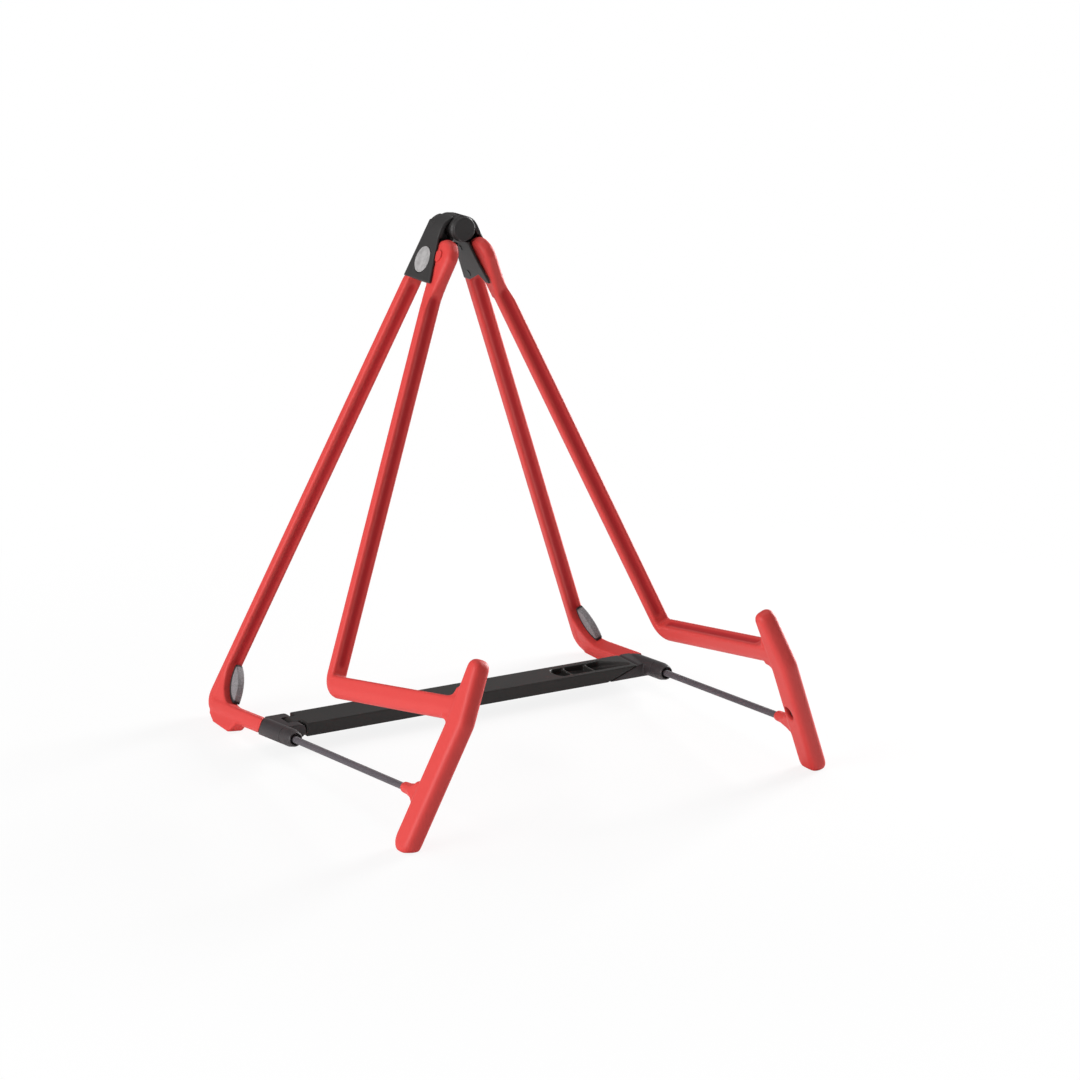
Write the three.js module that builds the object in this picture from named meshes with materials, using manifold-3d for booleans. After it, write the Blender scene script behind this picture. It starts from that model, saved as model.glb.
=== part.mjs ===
// A folding guitar stand: two A-shaped sides of moulded bar that meet at a hinge on top.
// Each side has a rear leg with a foot bar, and a front leg with an arm and a horn for the guitar.
// Millimetres, +Z up, and the guitar comes from the front, at -Y.
// The origin is on the floor, under the middle of the whole stand.

import * as THREE from "three";
import { mergeVertices } from "three/addons/utils/BufferGeometryUtils.js";
import Module from "manifold-3d";

const wasm = await Module();
wasm.setup();

const degrees = THREE.MathUtils.degToRad;

// Whole stand. "Below the apex" is measured down a side, from the line where the sides' planes meet.
const SPLAY = degrees(22.87); // lean of each side's plane away from upright
const APEX_HEIGHT = 279.6; // of the line where the planes meet, above the floor
const GAP = 0.3; // between pieces that seat on or turn in each other
const OVERRUN = 4; // how far a cutter runs past what it cuts
const CHORD_ERROR = 0.05; // of the flats that stand for a round surface

// Moulded bar of the legs, D-shaped, with its flat face towards the guitar
const LEG_WIDTH = 9;
const LEG_DEPTH = 8.4;
const LEG_EDGE = 1.2;

// Rear leg and its foot bar
const REAR_LEAN = degrees(11.25);
const REAR_KNEE_HEIGHT = 4.427981; // of the knee's corner, above the floor
const REAR_KNEE_RADIUS = 6;
const FOOT_RISE = degrees(6);
const FOOT_BAR_LENGTH = 59.3; // from the knee's corner to the foot sleeve
const FOOT_SLANT = degrees(55); // of the joint between the bar and its sleeve, longer on the inside
const FOOT_SPIGOT_RADIUS = 1.9;
const FOOT_SPIGOT_ROOM = 1; // left free between the spigot's end and the cord anchor
const KNEE_WEB_RADIUS = 15.3; // fillet in the knee's inner corner
const HEEL_WIDTH = 7.4;
const HEEL_AHEADS = [5.5, 13.4, 32, 38.5]; // its outline's corners, ahead of the knee's corner
const HEEL_BACK_DROP = 3.2; // below the knee's corner
const HEEL_DROP = 6.6;
const CAP_SPIGOT_WIDTH = 5.6; // leg's end inside the apex cap
const CAP_SPIGOT_DEPTH = 5.6;
const CAP_SPIGOT_TOP = 27; // below the apex

// Front leg and its arm
const FRONT_LEAN = degrees(10.85);
const FRONT_LINE_AHEAD = 6.8; // of the front leg's line, from the rear leg's line at the apex
const FRONT_KNEE_HEIGHT = 45.135829; // of the knee's corner, above the floor
const FRONT_KNEE_RADIUS = 6.5;
const ARM_DEPTH = 11.2;
const ARM_LENGTH = 122; // from the knee's corner to the arm's end inside the horn
const PIVOT_AHEAD = 15.5;
const PIVOT_BELOW = 30.5; // below the apex
const HEAD_RADIUS = 9.7;
const HEAD_INNER = 4.1; // inner face of the head, from the side's plane
const HEAD_EDGE = 1.4;
const NECK_LENGTH = 19.5; // from the pivot to where the bar has its full section

// Horn at the arm's end
const HORN_THICKNESS = 9.5;
const HORN_EDGE = 3.2;
const HORN_RADIUS = 7.3;
const HORN_TIP_RADIUS = 4.9;
const BEND_AHEAD = 5; // middle of the bend, ahead of the arm's end
const BEND_BELOW = 4.8;
const HORN_RISE = 26.1; // bend to tip
const HORN_TIP_BACK = 1.8;
const HORN_FOOT_HEIGHT = 4.28613; // of the middle of the lower end, above the floor
const HORN_FOOT_BACK = 7.9;
const ARM_FILLET = 5;

// Cord, its knots and the lug that it enters
const CORD_RADIUS = 1.8;
const CORD_SIDES = 8;
const KNOT_RADIUS = 2.9;
const KNOT_POCKET_LENGTH = 8; // oval pocket in the horn's inner face
const KNOT_RISE = 9.6; // of the knot in the horn, above the lug's line
const ANCHOR_KNOT_RADIUS = 2.5;
const LUG_BEHIND = 20.091632; // lug's tip, behind the middle of the horn's lower end
const LUG_RISE = 20.90307; // and above it
const LUG_LENGTH = 15.2;
const LUG_TIP_RADIUS = 2.8;
const LUG_BASE_RADIUS = 6.4;
const LUG_THICKNESS = 7.4;

// Hinge between the two sides
const HINGE_DROP = 14.2; // of the hinge, below the line where the sides' planes meet
const KNUCKLE_RADIUS = 6.2;
const KNUCKLE_FRONT = 16.5; // front face of the front knuckle, ahead of the apex
const FRONT_KNUCKLE_LENGTH = 8.2;
const MIDDLE_KNUCKLE_LENGTH = 6.9;
const REAR_KNUCKLE_LENGTH = 4.8;
const COLLAR_RADIUS = 7; // behind the front knuckle's face
const COLLAR_THICKNESS = 1;
const COLLAR_BEHIND = 2.2; // its front face, behind the knuckle's
const HINGE_PIN_RADIUS = 2.2;
const HINGE_PIN_WALL = 1.6; // left closed at both ends of the pin

// Apex cap
const CAP_OUTER = 4.8; // outer face, from the side's plane
const CAP_WALL = 1.6;
const CAP_BOTTOM = 45.5; // below the apex
const CAP_SLEEVE_TOP = 14;
const CAP_ELBOW = 7;
const CAP_ELBOW_WALL = 2.6;
const CAP_CROWN_DROP = 0.2; // of the elbow's top, below the top of the knuckles
const CAP_FRONT_LOW = 17.8; // front edge of the outer wall at its lower end, ahead of the apex
const CAP_FRONT_HIGH = 10.9;
const CAP_FRONT_TURN = 21.5; // below the apex, where that edge starts to slope
const CAP_BACK_HIGH = 4.2; // back edge of the outer wall, behind the apex, at the elbow
const CAP_EDGE = 0.6;
const BOSS_FRONT = 5; // front of the screws' boss, ahead of the apex
const BOSS_INNER = 4.5; // inner face of the boss, from the side's plane
const BOSS_FLAT = 8; // flat part of its lower end, which slopes up towards the front
const BOSS_FRONT_BELOW = 42.8;

// Front pivot, cap cover and badge
const PIVOT_PIN_RADIUS = 3;
const PIVOT_SEAT_DEPTH = 0.9; // of the pin's blind seat in the outer wall
const PIVOT_HEAD_DEPTH = 4.8; // of the pin's blind hole in the leg's head
const WASHER_RADIUS = 6.2;
const WASHER_THICKNESS = 0.7;
const COVER_THICKNESS = 1.2;
const COVER_TOP = 20.8;
const COVER_FRONT_HIGH = 14.6; // front edge of the cover, ahead of the apex, from its top down
const COVER_FRONT_MIDDLE = 16.6;
const COVER_MIDDLE_BELOW = 31;
const COVER_FRONT_LOW = 20.8;
const COVER_FIN_BELOW = 44.2; // tip of the fin, below the apex
const COVER_FIN_WIDTH = 3.4;
const COVER_NOTCH_AHEAD = 12; // inner corner between the fin and the boss
const COVER_NOTCH_BELOW = 40.2;
const COVER_BACK = 1.5; // back edge of the cover, ahead of the rear leg's line
const SCREW_RADIUS = 0.9;
const SCREW_HEAD_RADIUS = 1.8;
const SCREW_HEAD_DEPTH = 0.5;
const SCREW_LENGTH = 3.2;
const UPPER_SCREW_BELOW = 26;
const LOWER_SCREW_BELOW = 41.5;
const UPPER_SCREW_AHEAD = 2.6;
const LOWER_SCREW_AHEAD = 0.6;
const BADGE_RADIUS = 7;
const BADGE_THICKNESS = 0.6;
const BADGE_PROUD = 0.2;
const BADGE_AHEAD = 3.2;
const BADGE_BELOW = 34.7;

// Corner pad of the rear knee
const PAD_WIDTH = 4.4;
const PAD_OFFSET = 2; // of both pads towards +X, as in the photograph
const PAD_EDGE = 0.8;
const PAD_ON_LEG = 22.5; // reach of the pad, from the knee's inner corner
const PAD_ON_FOOT = 16;
const PAD_BULGE = 3.9;

// Foot sleeves and cord anchors
const SLEEVE_LENGTH = 28.3;
const SLEEVE_RADIUS = 4.8;
const ANCHOR_PLUG_RADIUS = 3.5; // the anchor's back end, inside the sleeve
const ANCHOR_PLUG_LENGTH = 7;
const ANCHOR_NOSE_LENGTH = 10.3;
const ANCHOR_TIP_RADIUS = 4;
const ANCHOR_MOUTH_RADIUS = 3.1;
const ANCHOR_MOUTH_DEPTH = 2.2;

// Cross bar: hinged at the left sleeve, laid on a ramp of the right one
const BAR_HEIGHT = 7.4;
const BAR_DEPTH = 21;
const BAR_BEHIND_NOSE = 7.713472; // front face, behind the foot sleeve's front end
const BAR_MIDDLE_HEIGHT = 11.1; // above the floor
const BAR_HINGE_INSIDE = 11; // bar's hinge, inside the side's plane
const BAR_KNUCKLE_LENGTH = 8.4;
const BAR_PIN_RADIUS = 1.5;
const BAR_PIN_WALL = 1.5;
const RAMP_TOP_INSIDE = 7.2; // where the ramp reaches the bar's top, from the right sleeve's middle
const POCKET_LENGTH = 45;
const POCKET_FROM_END = 4.5; // from the bar's right end to the pocket
const POCKET_DEPTH = 4;
const POCKET_END_DEPTH = 0.9;
const POCKET_SLOPE_LENGTH = 13;
const POCKET_FRONT_RIM = 3.2;
const POCKET_BACK_RIM = 4.2;
const POCKET_TIP_WIDTH = 3;
const RIB_SPACING = 14;
const RIB_FROM_POCKET_START = 9;
const RIB_THICKNESS = 1.4;
const RIB_DROP = 1.2; // rib's top below the bar's top

// Colours and finishes
const RED = { color: 0xc93a33, roughness: 0.38, metalness: 0 };
const BLACK = { color: 0x3b3836, roughness: 0.55, metalness: 0 };
const RUBBER = { color: 0x2b2a2b, roughness: 0.8, metalness: 0 };
const GREY = { color: 0xa8a5a5, roughness: 0.45, metalness: 0 };
const STEEL = { color: 0xb9b9bb, roughness: 0.3, metalness: 1 };
const CORD_BLACK = { color: 0x4f4650, roughness: 0.85, metalness: 0 };

// Solids and geometries

function solid(geometry) {
  const bare = geometry.clone();
  bare.deleteAttribute("uv");
  bare.deleteAttribute("normal");
  const welded = mergeVertices(bare);
  return new wasm.Manifold(
    new wasm.Mesh({
      numProp: 3,
      vertProperties: welded.attributes.position.array,
      triVerts: new Uint32Array(welded.index.array),
    }),
  );
}

function geometryOf(made) {
  const mesh = made.getMesh();
  const geometry = new THREE.BufferGeometry();
  geometry.setAttribute("position", new THREE.BufferAttribute(mesh.vertProperties, mesh.numProp));
  geometry.setIndex(new THREE.BufferAttribute(mesh.triVerts, 1));
  const flat = geometry.toNonIndexed();
  flat.computeVertexNormals();
  return flat;
}

const join = (...pieces) => geometryOf(pieces.map(solid).reduce((a, b) => a.add(b)));
const cut = (piece, ...cutters) =>
  geometryOf(cutters.map(solid).reduce((a, b) => a.subtract(b), solid(piece)));
const common = (a, b) => geometryOf(solid(a).intersect(solid(b)));

function thicken(outline, thickness, edge) {
  return new THREE.ExtrudeGeometry(outline, {
    depth: thickness - 2 * edge,
    bevelEnabled: edge > 0,
    bevelThickness: edge,
    bevelSize: edge,
    bevelOffset: -edge,
    bevelSegments: 3,
    curveSegments: 6,
  }).translate(0, 0, edge);
}

// An outline in Y and Z, thickened along X
function plateX(outline, from, to, edge = 0) {
  const axes = [new THREE.Vector3(0, 1, 0), new THREE.Vector3(0, 0, 1), new THREE.Vector3(1, 0, 0)];
  const turn = new THREE.Matrix4().makeBasis(...axes);
  return thicken(outline, to - from, edge).applyMatrix4(turn).translate(from, 0, 0);
}

// An outline in X and Z, thickened along Y
function plateY(outline, from, to, edge = 0) {
  return thicken(outline, to - from, edge).rotateX(Math.PI / 2).translate(0, to, 0);
}

function polygon(points) {
  return new THREE.Shape(points.map(([a, b]) => new THREE.Vector2(a, b)));
}

function block([x0, x1], [y0, y1], [z0, z1]) {
  const geometry = new THREE.BoxGeometry(x1 - x0, y1 - y0, z1 - z0);
  return geometry.translate((x0 + x1) / 2, (y0 + y1) / 2, (z0 + z1) / 2);
}

const sidesOf = (radius) => 2 * Math.ceil(Math.PI / 2 / Math.acos(1 - CHORD_ERROR / radius));

function cylinder(radius, length) {
  return new THREE.CylinderGeometry(radius, radius, length, sidesOf(radius));
}

// A round bar along X through a place in Y and Z
function rodX(radius, from, to, [y, z]) {
  return cylinder(radius, to - from).rotateZ(Math.PI / 2).translate((from + to) / 2, y, z);
}

// A round bar along Y through a place in X and Z
function rodY(radius, from, to, [x, z]) {
  return cylinder(radius, to - from).translate(x, (from + to) / 2, z);
}

// A shape turned about a line in the side's plane: each profile point is a radius and a distance
function turned(profile, place, direction) {
  const points = profile.map(([radius, distance]) => new THREE.Vector2(radius, distance));
  const heading = new THREE.Vector3(0, ...direction);
  const turn = new THREE.Quaternion().setFromUnitVectors(new THREE.Vector3(0, 1, 0), heading);
  const sides = sidesOf(Math.max(...profile.map(([radius]) => radius)));
  return new THREE.LatheGeometry(points, sides).applyQuaternion(turn).translate(0, ...place);
}

// The outline round two circles, joined by their outer tangents
function capsule(a, ra, b, rb) {
  const along = new THREE.Vector2(b[0] - a[0], b[1] - a[1]);
  const turn = along.angle();
  const spread = Math.acos((ra - rb) / along.length());
  const shape = new THREE.Shape();
  shape.absarc(a[0], a[1], ra, turn + spread, turn - spread + 2 * Math.PI, false);
  shape.absarc(b[0], b[1], rb, turn - spread, turn + spread, false);
  shape.closePath();
  return shape;
}

// Directions and places in a side's own plane, as [y, z], with z counted from the apex

const step = ([y, z], [dy, dz], distance) => [y + dy * distance, z + dz * distance];
const bearing = ([y0, z0], [y1, z1]) => Math.atan2(z1 - z0, y1 - y0);

const rearDown = [Math.sin(REAR_LEAN), -Math.cos(REAR_LEAN)];
const rearUp = [-rearDown[0], -rearDown[1]];
const rearAhead = [-Math.cos(REAR_LEAN), -Math.sin(REAR_LEAN)];
const footForward = [-Math.cos(FOOT_RISE), Math.sin(FOOT_RISE)];
const footUp = [Math.sin(FOOT_RISE), Math.cos(FOOT_RISE)];
const frontDown = [-Math.sin(FRONT_LEAN), -Math.cos(FRONT_LEAN)];
const armForward = [-Math.cos(FRONT_LEAN), Math.sin(FRONT_LEAN)];
const armUp = [-frontDown[0], -frontDown[1]];

// How far below the apex, down a side's plane, a height above the floor lies
const belowApex = (height) => (APEX_HEIGHT - height) / Math.cos(SPLAY);

const rearLineAt = (below) => below * Math.tan(REAR_LEAN);
const rearLegLength = belowApex(REAR_KNEE_HEIGHT) / Math.cos(REAR_LEAN);
const rearKnee = step([0, 0], rearDown, rearLegLength);
const footEnd = step(rearKnee, footForward, FOOT_BAR_LENGTH);
const sleeveStart = step(footEnd, footForward, GAP);
const footSpigotLength = GAP + SLEEVE_LENGTH - ANCHOR_PLUG_LENGTH - FOOT_SPIGOT_ROOM;
const anchorStart = step(sleeveStart, footForward, SLEEVE_LENGTH - ANCHOR_PLUG_LENGTH);
const anchorKnot = step(anchorStart, footForward, ANCHOR_KNOT_RADIUS + GAP);

const frontTop = [-FRONT_LINE_AHEAD, 0];
const frontLegLength = belowApex(FRONT_KNEE_HEIGHT) / Math.cos(FRONT_LEAN);
const frontKnee = step(frontTop, frontDown, frontLegLength);
const armEnd = step(frontKnee, armForward, ARM_LENGTH);
const pivot = [-PIVOT_AHEAD, -PIVOT_BELOW];
const pivotOnLine = (pivot[0] - frontTop[0]) * frontDown[0] + pivot[1] * frontDown[1];
const neckEnd = step(frontTop, frontDown, pivotOnLine + NECK_LENGTH);

const bend = [armEnd[0] - BEND_AHEAD, armEnd[1] - BEND_BELOW];
const hornTip = [bend[0] + HORN_TIP_BACK, bend[1] + HORN_RISE];
const hornFoot = [bend[0] + HORN_FOOT_BACK, -belowApex(HORN_FOOT_HEIGHT)];
const hornDrop = bend[1] - hornFoot[1];

const lugTip = [hornFoot[0] + LUG_BEHIND, hornFoot[1] + LUG_RISE];
const cordSpan = Math.hypot(lugTip[0] - anchorKnot[0], lugTip[1] - anchorKnot[1]);
const cordForward = [
  (lugTip[0] - anchorKnot[0]) / cordSpan,
  (lugTip[1] - anchorKnot[1]) / cordSpan,
];
const cordBend = step(lugTip, cordForward, LUG_LENGTH);
const hornKnot = step(step(cordBend, cordForward, HORN_RADIUS), [0, 1], KNOT_RISE);
const bendSpan = Math.hypot(hornKnot[0] - cordBend[0], hornKnot[1] - cordBend[1]);
const bendForward = [(hornKnot[0] - cordBend[0]) / bendSpan, (hornKnot[1] - cordBend[1]) / bendSpan];

// The hinge between the sides, seen in a side's own frame
const hinge = [-HINGE_DROP * Math.sin(SPLAY), -HINGE_DROP * Math.cos(SPLAY)];
const hingeHeight = APEX_HEIGHT - HINGE_DROP;

// From a side's own frame to the right side's place in the stand
const intoStand = (geometry) => geometry.rotateY(-SPLAY).translate(0, 0, APEX_HEIGHT);

// Place in the stand, as [x, z], of a point some way inside the side's plane at a height
function standPlace(inside, height) {
  const below = (APEX_HEIGHT - height - inside * Math.sin(SPLAY)) / Math.cos(SPLAY);
  return [below * Math.sin(SPLAY) - inside * Math.cos(SPLAY), height];
}

// Everything above the floor, seen in a side's own frame
function aboveFloor() {
  const reach = rearLegLength;
  const box = block([-reach, reach], [-reach, reach], [0, reach]);
  return box.translate(0, 0, -APEX_HEIGHT).rotateY(SPLAY);
}

// Moulded bar

// A route down one straight, round a corner and along another, followed station by station
class CornerRoute extends THREE.Curve {
  constructor(start, corner, end, radius, arcSteps) {
    super();
    const [s, c, e] = [start, corner, end].map((place) => new THREE.Vector3(0, ...place));
    const before = c.clone().sub(s).normalize();
    const after = e.clone().sub(c).normalize();
    const turn = before.angleTo(after);
    const inward = after.clone().sub(before).normalize();
    const centre = c.clone().addScaledVector(inward, radius / Math.cos(turn / 2));
    const first = c.clone().addScaledVector(before, -radius * Math.tan(turn / 2)).sub(centre);
    const axis = before.clone().cross(after).normalize();
    this.places = [s];
    this.headings = [before];
    for (let i = 0; i <= arcSteps; i += 1) {
      const angle = (turn * i) / arcSteps;
      this.places.push(first.clone().applyAxisAngle(axis, angle).add(centre));
      this.headings.push(before.clone().applyAxisAngle(axis, angle));
    }
    this.places.push(e);
    this.headings.push(after);
    this.steps = this.places.length - 1;
  }
  getPointAt(u) {
    return this.places[Math.round(u * this.steps)].clone();
  }
  getTangentAt(u) {
    return this.headings[Math.round(u * this.steps)].clone();
  }
}

function mouldedBar(route) {
  const section = barSection(LEG_WIDTH / 2, -LEG_DEPTH / 2, LEG_DEPTH / 2 - LEG_WIDTH / 2);
  const options = { steps: route.steps, bevelEnabled: false, curveSegments: 6 };
  return new THREE.ExtrudeGeometry(section, { ...options, extrudePath: route });
}

// D-shaped section: a flat face at one level, and a round back about another
function barSection(half, face, round) {
  const section = new THREE.Shape();
  section.moveTo(-half, face + LEG_EDGE);
  section.quadraticCurveTo(-half, face, LEG_EDGE - half, face);
  section.lineTo(half - LEG_EDGE, face);
  section.quadraticCurveTo(half, face, half, face + LEG_EDGE);
  section.absarc(0, round, half, 0, Math.PI, false);
  section.closePath();
  return section;
}

// Inner side of the rear knee, raised by a margin: its outline runs up the leg and along the foot bar
function kneeOutline(margin, onLeg, onFoot) {
  const legFace = step(rearKnee, rearAhead, LEG_DEPTH / 2);
  const footFace = step(rearKnee, footUp, LEG_DEPTH / 2);
  const crossing = rearDown[0] * footForward[1] - rearDown[1] * footForward[0];
  const [dy, dz] = [footFace[0] - legFace[0], footFace[1] - legFace[1]];
  const corner = step(legFace, rearDown, (dy * footForward[1] - dz * footForward[0]) / crossing);
  const heart = [(rearKnee[0] + corner[0]) / 2, (rearKnee[1] + corner[1]) / 2];
  const half = Math.acos(rearUp[0] * footForward[0] + rearUp[1] * footForward[1]) / 2;
  const inward = [Math.cos(bearing(rearDown, footForward)), Math.sin(bearing(rearDown, footForward))];
  const centre = step(corner, inward, KNEE_WEB_RADIUS / Math.sin(half));
  const touch = KNEE_WEB_RADIUS / Math.tan(half);
  const radius = KNEE_WEB_RADIUS - margin;
  const legTouch = step(step(corner, rearUp, touch), rearAhead, margin);
  const footTouch = step(step(corner, footForward, touch), footUp, margin);
  const shape = new THREE.Shape();
  shape.moveTo(...heart);
  shape.lineTo(...step(heart, rearUp, onLeg));
  shape.lineTo(...step(step(corner, rearUp, onLeg), rearAhead, margin));
  shape.lineTo(...legTouch);
  shape.absarc(...centre, radius, bearing(centre, legTouch), bearing(centre, footTouch), true);
  shape.lineTo(...step(step(corner, footForward, onFoot), footUp, margin));
  shape.lineTo(...step(heart, footForward, onFoot));
  shape.closePath();
  return { shape, corner, heart, touch };
}

// A slab that removes the foot bar, or its sleeve, beyond their slanted joint
function slantCutter(place, direction) {
  const reach = 4 * SLEEVE_RADIUS;
  const along = direction < 0 ? [-reach, 0] : [0, reach];
  return block([-reach, reach], along, [-reach, reach]).rotateZ(-FOOT_SLANT).translate(0, ...place);
}

function rearLeg() {
  const topBelow = CAP_BOTTOM + GAP + (LEG_DEPTH / 2) * Math.sin(REAR_LEAN);
  const top = [rearLineAt(topBelow), -topBelow];
  const barEnd = step(footEnd, footForward, LEG_WIDTH * Math.tan(FOOT_SLANT));
  const bar = mouldedBar(new CornerRoute(top, rearKnee, barEnd, REAR_KNEE_RADIUS, 5));
  const body = cut(bar, slantCutter(footEnd, -1));
  const rooted = step(top, rearDown, OVERRUN);
  const capSpigot = block(
    [-CAP_SPIGOT_WIDTH / 2, CAP_SPIGOT_WIDTH / 2],
    [-CAP_SPIGOT_DEPTH / 2, CAP_SPIGOT_DEPTH / 2],
    [0, (-rooted[1] - CAP_SPIGOT_TOP) / Math.cos(REAR_LEAN)],
  );
  capSpigot.rotateX(REAR_LEAN).translate(0, ...rooted);
  const root = -LEG_WIDTH;
  const profile = [
    [0, root],
    [FOOT_SPIGOT_RADIUS, root],
    [FOOT_SPIGOT_RADIUS, footSpigotLength],
    [0, footSpigotLength],
  ];
  const footSpigot = turned(profile, footEnd, footForward);
  const { touch } = kneeOutline(0, 0, 0);
  const webHalf = LEG_WIDTH / 2 - LEG_EDGE / 2;
  const web = plateX(kneeOutline(0, touch, touch).shape, -webHalf, webHalf);
  return common(join(body, capSpigot, footSpigot, web, heel()), aboveFloor());
}

// The heel stands on the floor, under the foot bar
function heel() {
  const [back, backLow, frontLow, front] = HEEL_AHEADS.map((ahead) => rearKnee[0] - ahead);
  const outline = polygon([
    step(rearKnee, footForward, rearKnee[0] - back),
    [back, rearKnee[1] - HEEL_BACK_DROP],
    [backLow, rearKnee[1] - HEEL_DROP],
    [frontLow, rearKnee[1] - HEEL_DROP],
    step([front, rearKnee[1] + (rearKnee[0] - front) * Math.tan(FOOT_RISE)], footUp, -LEG_DEPTH / 4),
  ]);
  return plateX(outline, -HEEL_WIDTH / 2, HEEL_WIDTH / 2, LEG_EDGE / 2);
}

function cornerPad(offset) {
  const reach = 2 * (PAD_ON_LEG + PAD_ON_FOOT);
  const seat = kneeOutline(GAP, reach, reach);
  const upper = step(seat.corner, rearUp, PAD_ON_LEG);
  const lower = step(seat.corner, footForward, PAD_ON_FOOT);
  const halfChord = Math.hypot(lower[0] - upper[0], lower[1] - upper[1]) / 2;
  const radius = (halfChord ** 2 + PAD_BULGE ** 2) / (2 * PAD_BULGE);
  const middle = [(upper[0] + lower[0]) / 2, (upper[1] + lower[1]) / 2];
  const across = bearing(upper, lower) + Math.PI / 2;
  const centre = step(middle, [Math.cos(across), Math.sin(across)], radius - PAD_BULGE);
  const shape = new THREE.Shape();
  shape.moveTo(...seat.heart);
  shape.lineTo(...upper);
  shape.absarc(...centre, radius, bearing(centre, upper), bearing(centre, lower), false);
  shape.closePath();
  const lens = plateX(shape, offset - PAD_WIDTH / 2, offset + PAD_WIDTH / 2, PAD_EDGE);
  return cut(lens, plateX(seat.shape, -LEG_WIDTH, LEG_WIDTH));
}

// Levels across a side, counted outwards from its plane
const capInner = CAP_OUTER - CAP_WALL;
const headOuter = capInner - GAP;
const pinInner = headOuter - PIVOT_HEAD_DEPTH;
const pinOuter = capInner + PIVOT_SEAT_DEPTH - GAP;
const washerInner = headOuter - WASHER_THICKNESS;
const coverInner = -BOSS_INNER - GAP;
const coverOuter = coverInner - COVER_THICKNESS;
const screwTip = coverOuter + SCREW_LENGTH;

// Front leg, arm and horn

function pocketOutline([y, z]) {
  const half = KNOT_POCKET_LENGTH / 2 - KNOT_RADIUS - GAP;
  const radius = KNOT_RADIUS + GAP;
  return capsule([y, z - half], radius, [y, z + half], radius);
}

function cordBore(place, direction, from, to) {
  const radius = CORD_RADIUS + GAP;
  const profile = [
    [0, from],
    [radius, from],
    [radius, to],
    [0, to],
  ];
  return turned(profile, place, direction);
}

function armFillet(side) {
  const face = step(armEnd, armUp, (side * ARM_DEPTH) / 2);
  const back = step(face, armForward, -ARM_FILLET - HORN_RADIUS / 2);
  const shape = new THREE.Shape();
  shape.moveTo(...armEnd);
  shape.lineTo(...step(armEnd, armForward, -ARM_FILLET - HORN_RADIUS / 2));
  shape.lineTo(...back);
  const corner = step(face, armForward, -HORN_RADIUS / 4);
  const onHorn = step(corner, armUp, side * ARM_FILLET);
  shape.quadraticCurveTo(...corner, ...onHorn);
  shape.closePath();
  const half = LEG_WIDTH / 2 - LEG_EDGE / 2;
  return plateX(shape, -half, half);
}

function frontLeg() {
  const route = new CornerRoute(neckEnd, frontKnee, armEnd, FRONT_KNEE_RADIUS, 5);
  const bar = deepen(mouldedBar(route), ARM_DEPTH / LEG_DEPTH);
  const disc = new THREE.Shape().absarc(...pivot, HEAD_RADIUS, 0, 2 * Math.PI, false);
  const head = plateX(disc, -HEAD_INNER, headOuter, HEAD_EDGE);
  const neckStart = step(frontTop, frontDown, pivotOnLine);
  const neckHalf = LEG_DEPTH / 2 - GAP;
  const neckTip = step(neckEnd, frontDown, OVERRUN);
  const [front, back] = [armForward, [-armForward[0], -armForward[1]]];
  const neck = plateX(
    polygon([
      step(neckStart, front, neckHalf),
      step(neckTip, front, neckHalf),
      step(neckTip, back, neckHalf),
      step(neckStart, back, neckHalf),
    ]),
    -HEAD_INNER,
    headOuter,
  );
  const half = HORN_THICKNESS / 2;
  const upper = plateX(capsule(bend, HORN_RADIUS, hornTip, HORN_TIP_RADIUS), -half, half, HORN_EDGE);
  const lower = plateX(capsule(bend, HORN_RADIUS, hornFoot, HORN_RADIUS), -half, half, HORN_EDGE);
  const lugProfile = [
    [0, 0],
    [LUG_TIP_RADIUS, 0],
    [LUG_TIP_RADIUS * 1.06, LUG_LENGTH * 0.35],
    [(LUG_TIP_RADIUS + LUG_BASE_RADIUS) / 2.2, LUG_LENGTH * 0.75],
    [LUG_BASE_RADIUS, LUG_LENGTH],
    [LUG_BASE_RADIUS, LUG_LENGTH + HORN_RADIUS],
    [0, LUG_LENGTH + HORN_RADIUS],
  ];
  const reach = hornDrop;
  const slab = block(
    [-LUG_THICKNESS / 2, LUG_THICKNESS / 2],
    [lugTip[0] - reach, lugTip[0] + reach],
    [lugTip[1] - reach, lugTip[1] + reach],
  );
  const lug = common(turned(lugProfile, lugTip, cordForward), slab);
  const whole = join(
    bar,
    head,
    neck,
    upper,
    lower,
    armFillet(1),
    armFillet(-1),
    lug,
  );
  const pocket = plateX(pocketOutline(hornKnot), -half - OVERRUN, KNOT_RADIUS + GAP);
  const pinHole = rodX(PIVOT_PIN_RADIUS + GAP, pinInner - GAP, headOuter + OVERRUN, pivot);
  const washerSeat = rodX(WASHER_RADIUS + GAP, washerInner - GAP, CAP_OUTER, pivot);
  const bore = cordBore(lugTip, cordForward, -OVERRUN, LUG_LENGTH + CORD_RADIUS);
  const bentBore = cordBore(cordBend, bendForward, -CORD_RADIUS, bendSpan);
  return common(cut(whole, pocket, pinHole, washerSeat, bore, bentBore), aboveFloor());
}

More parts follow.
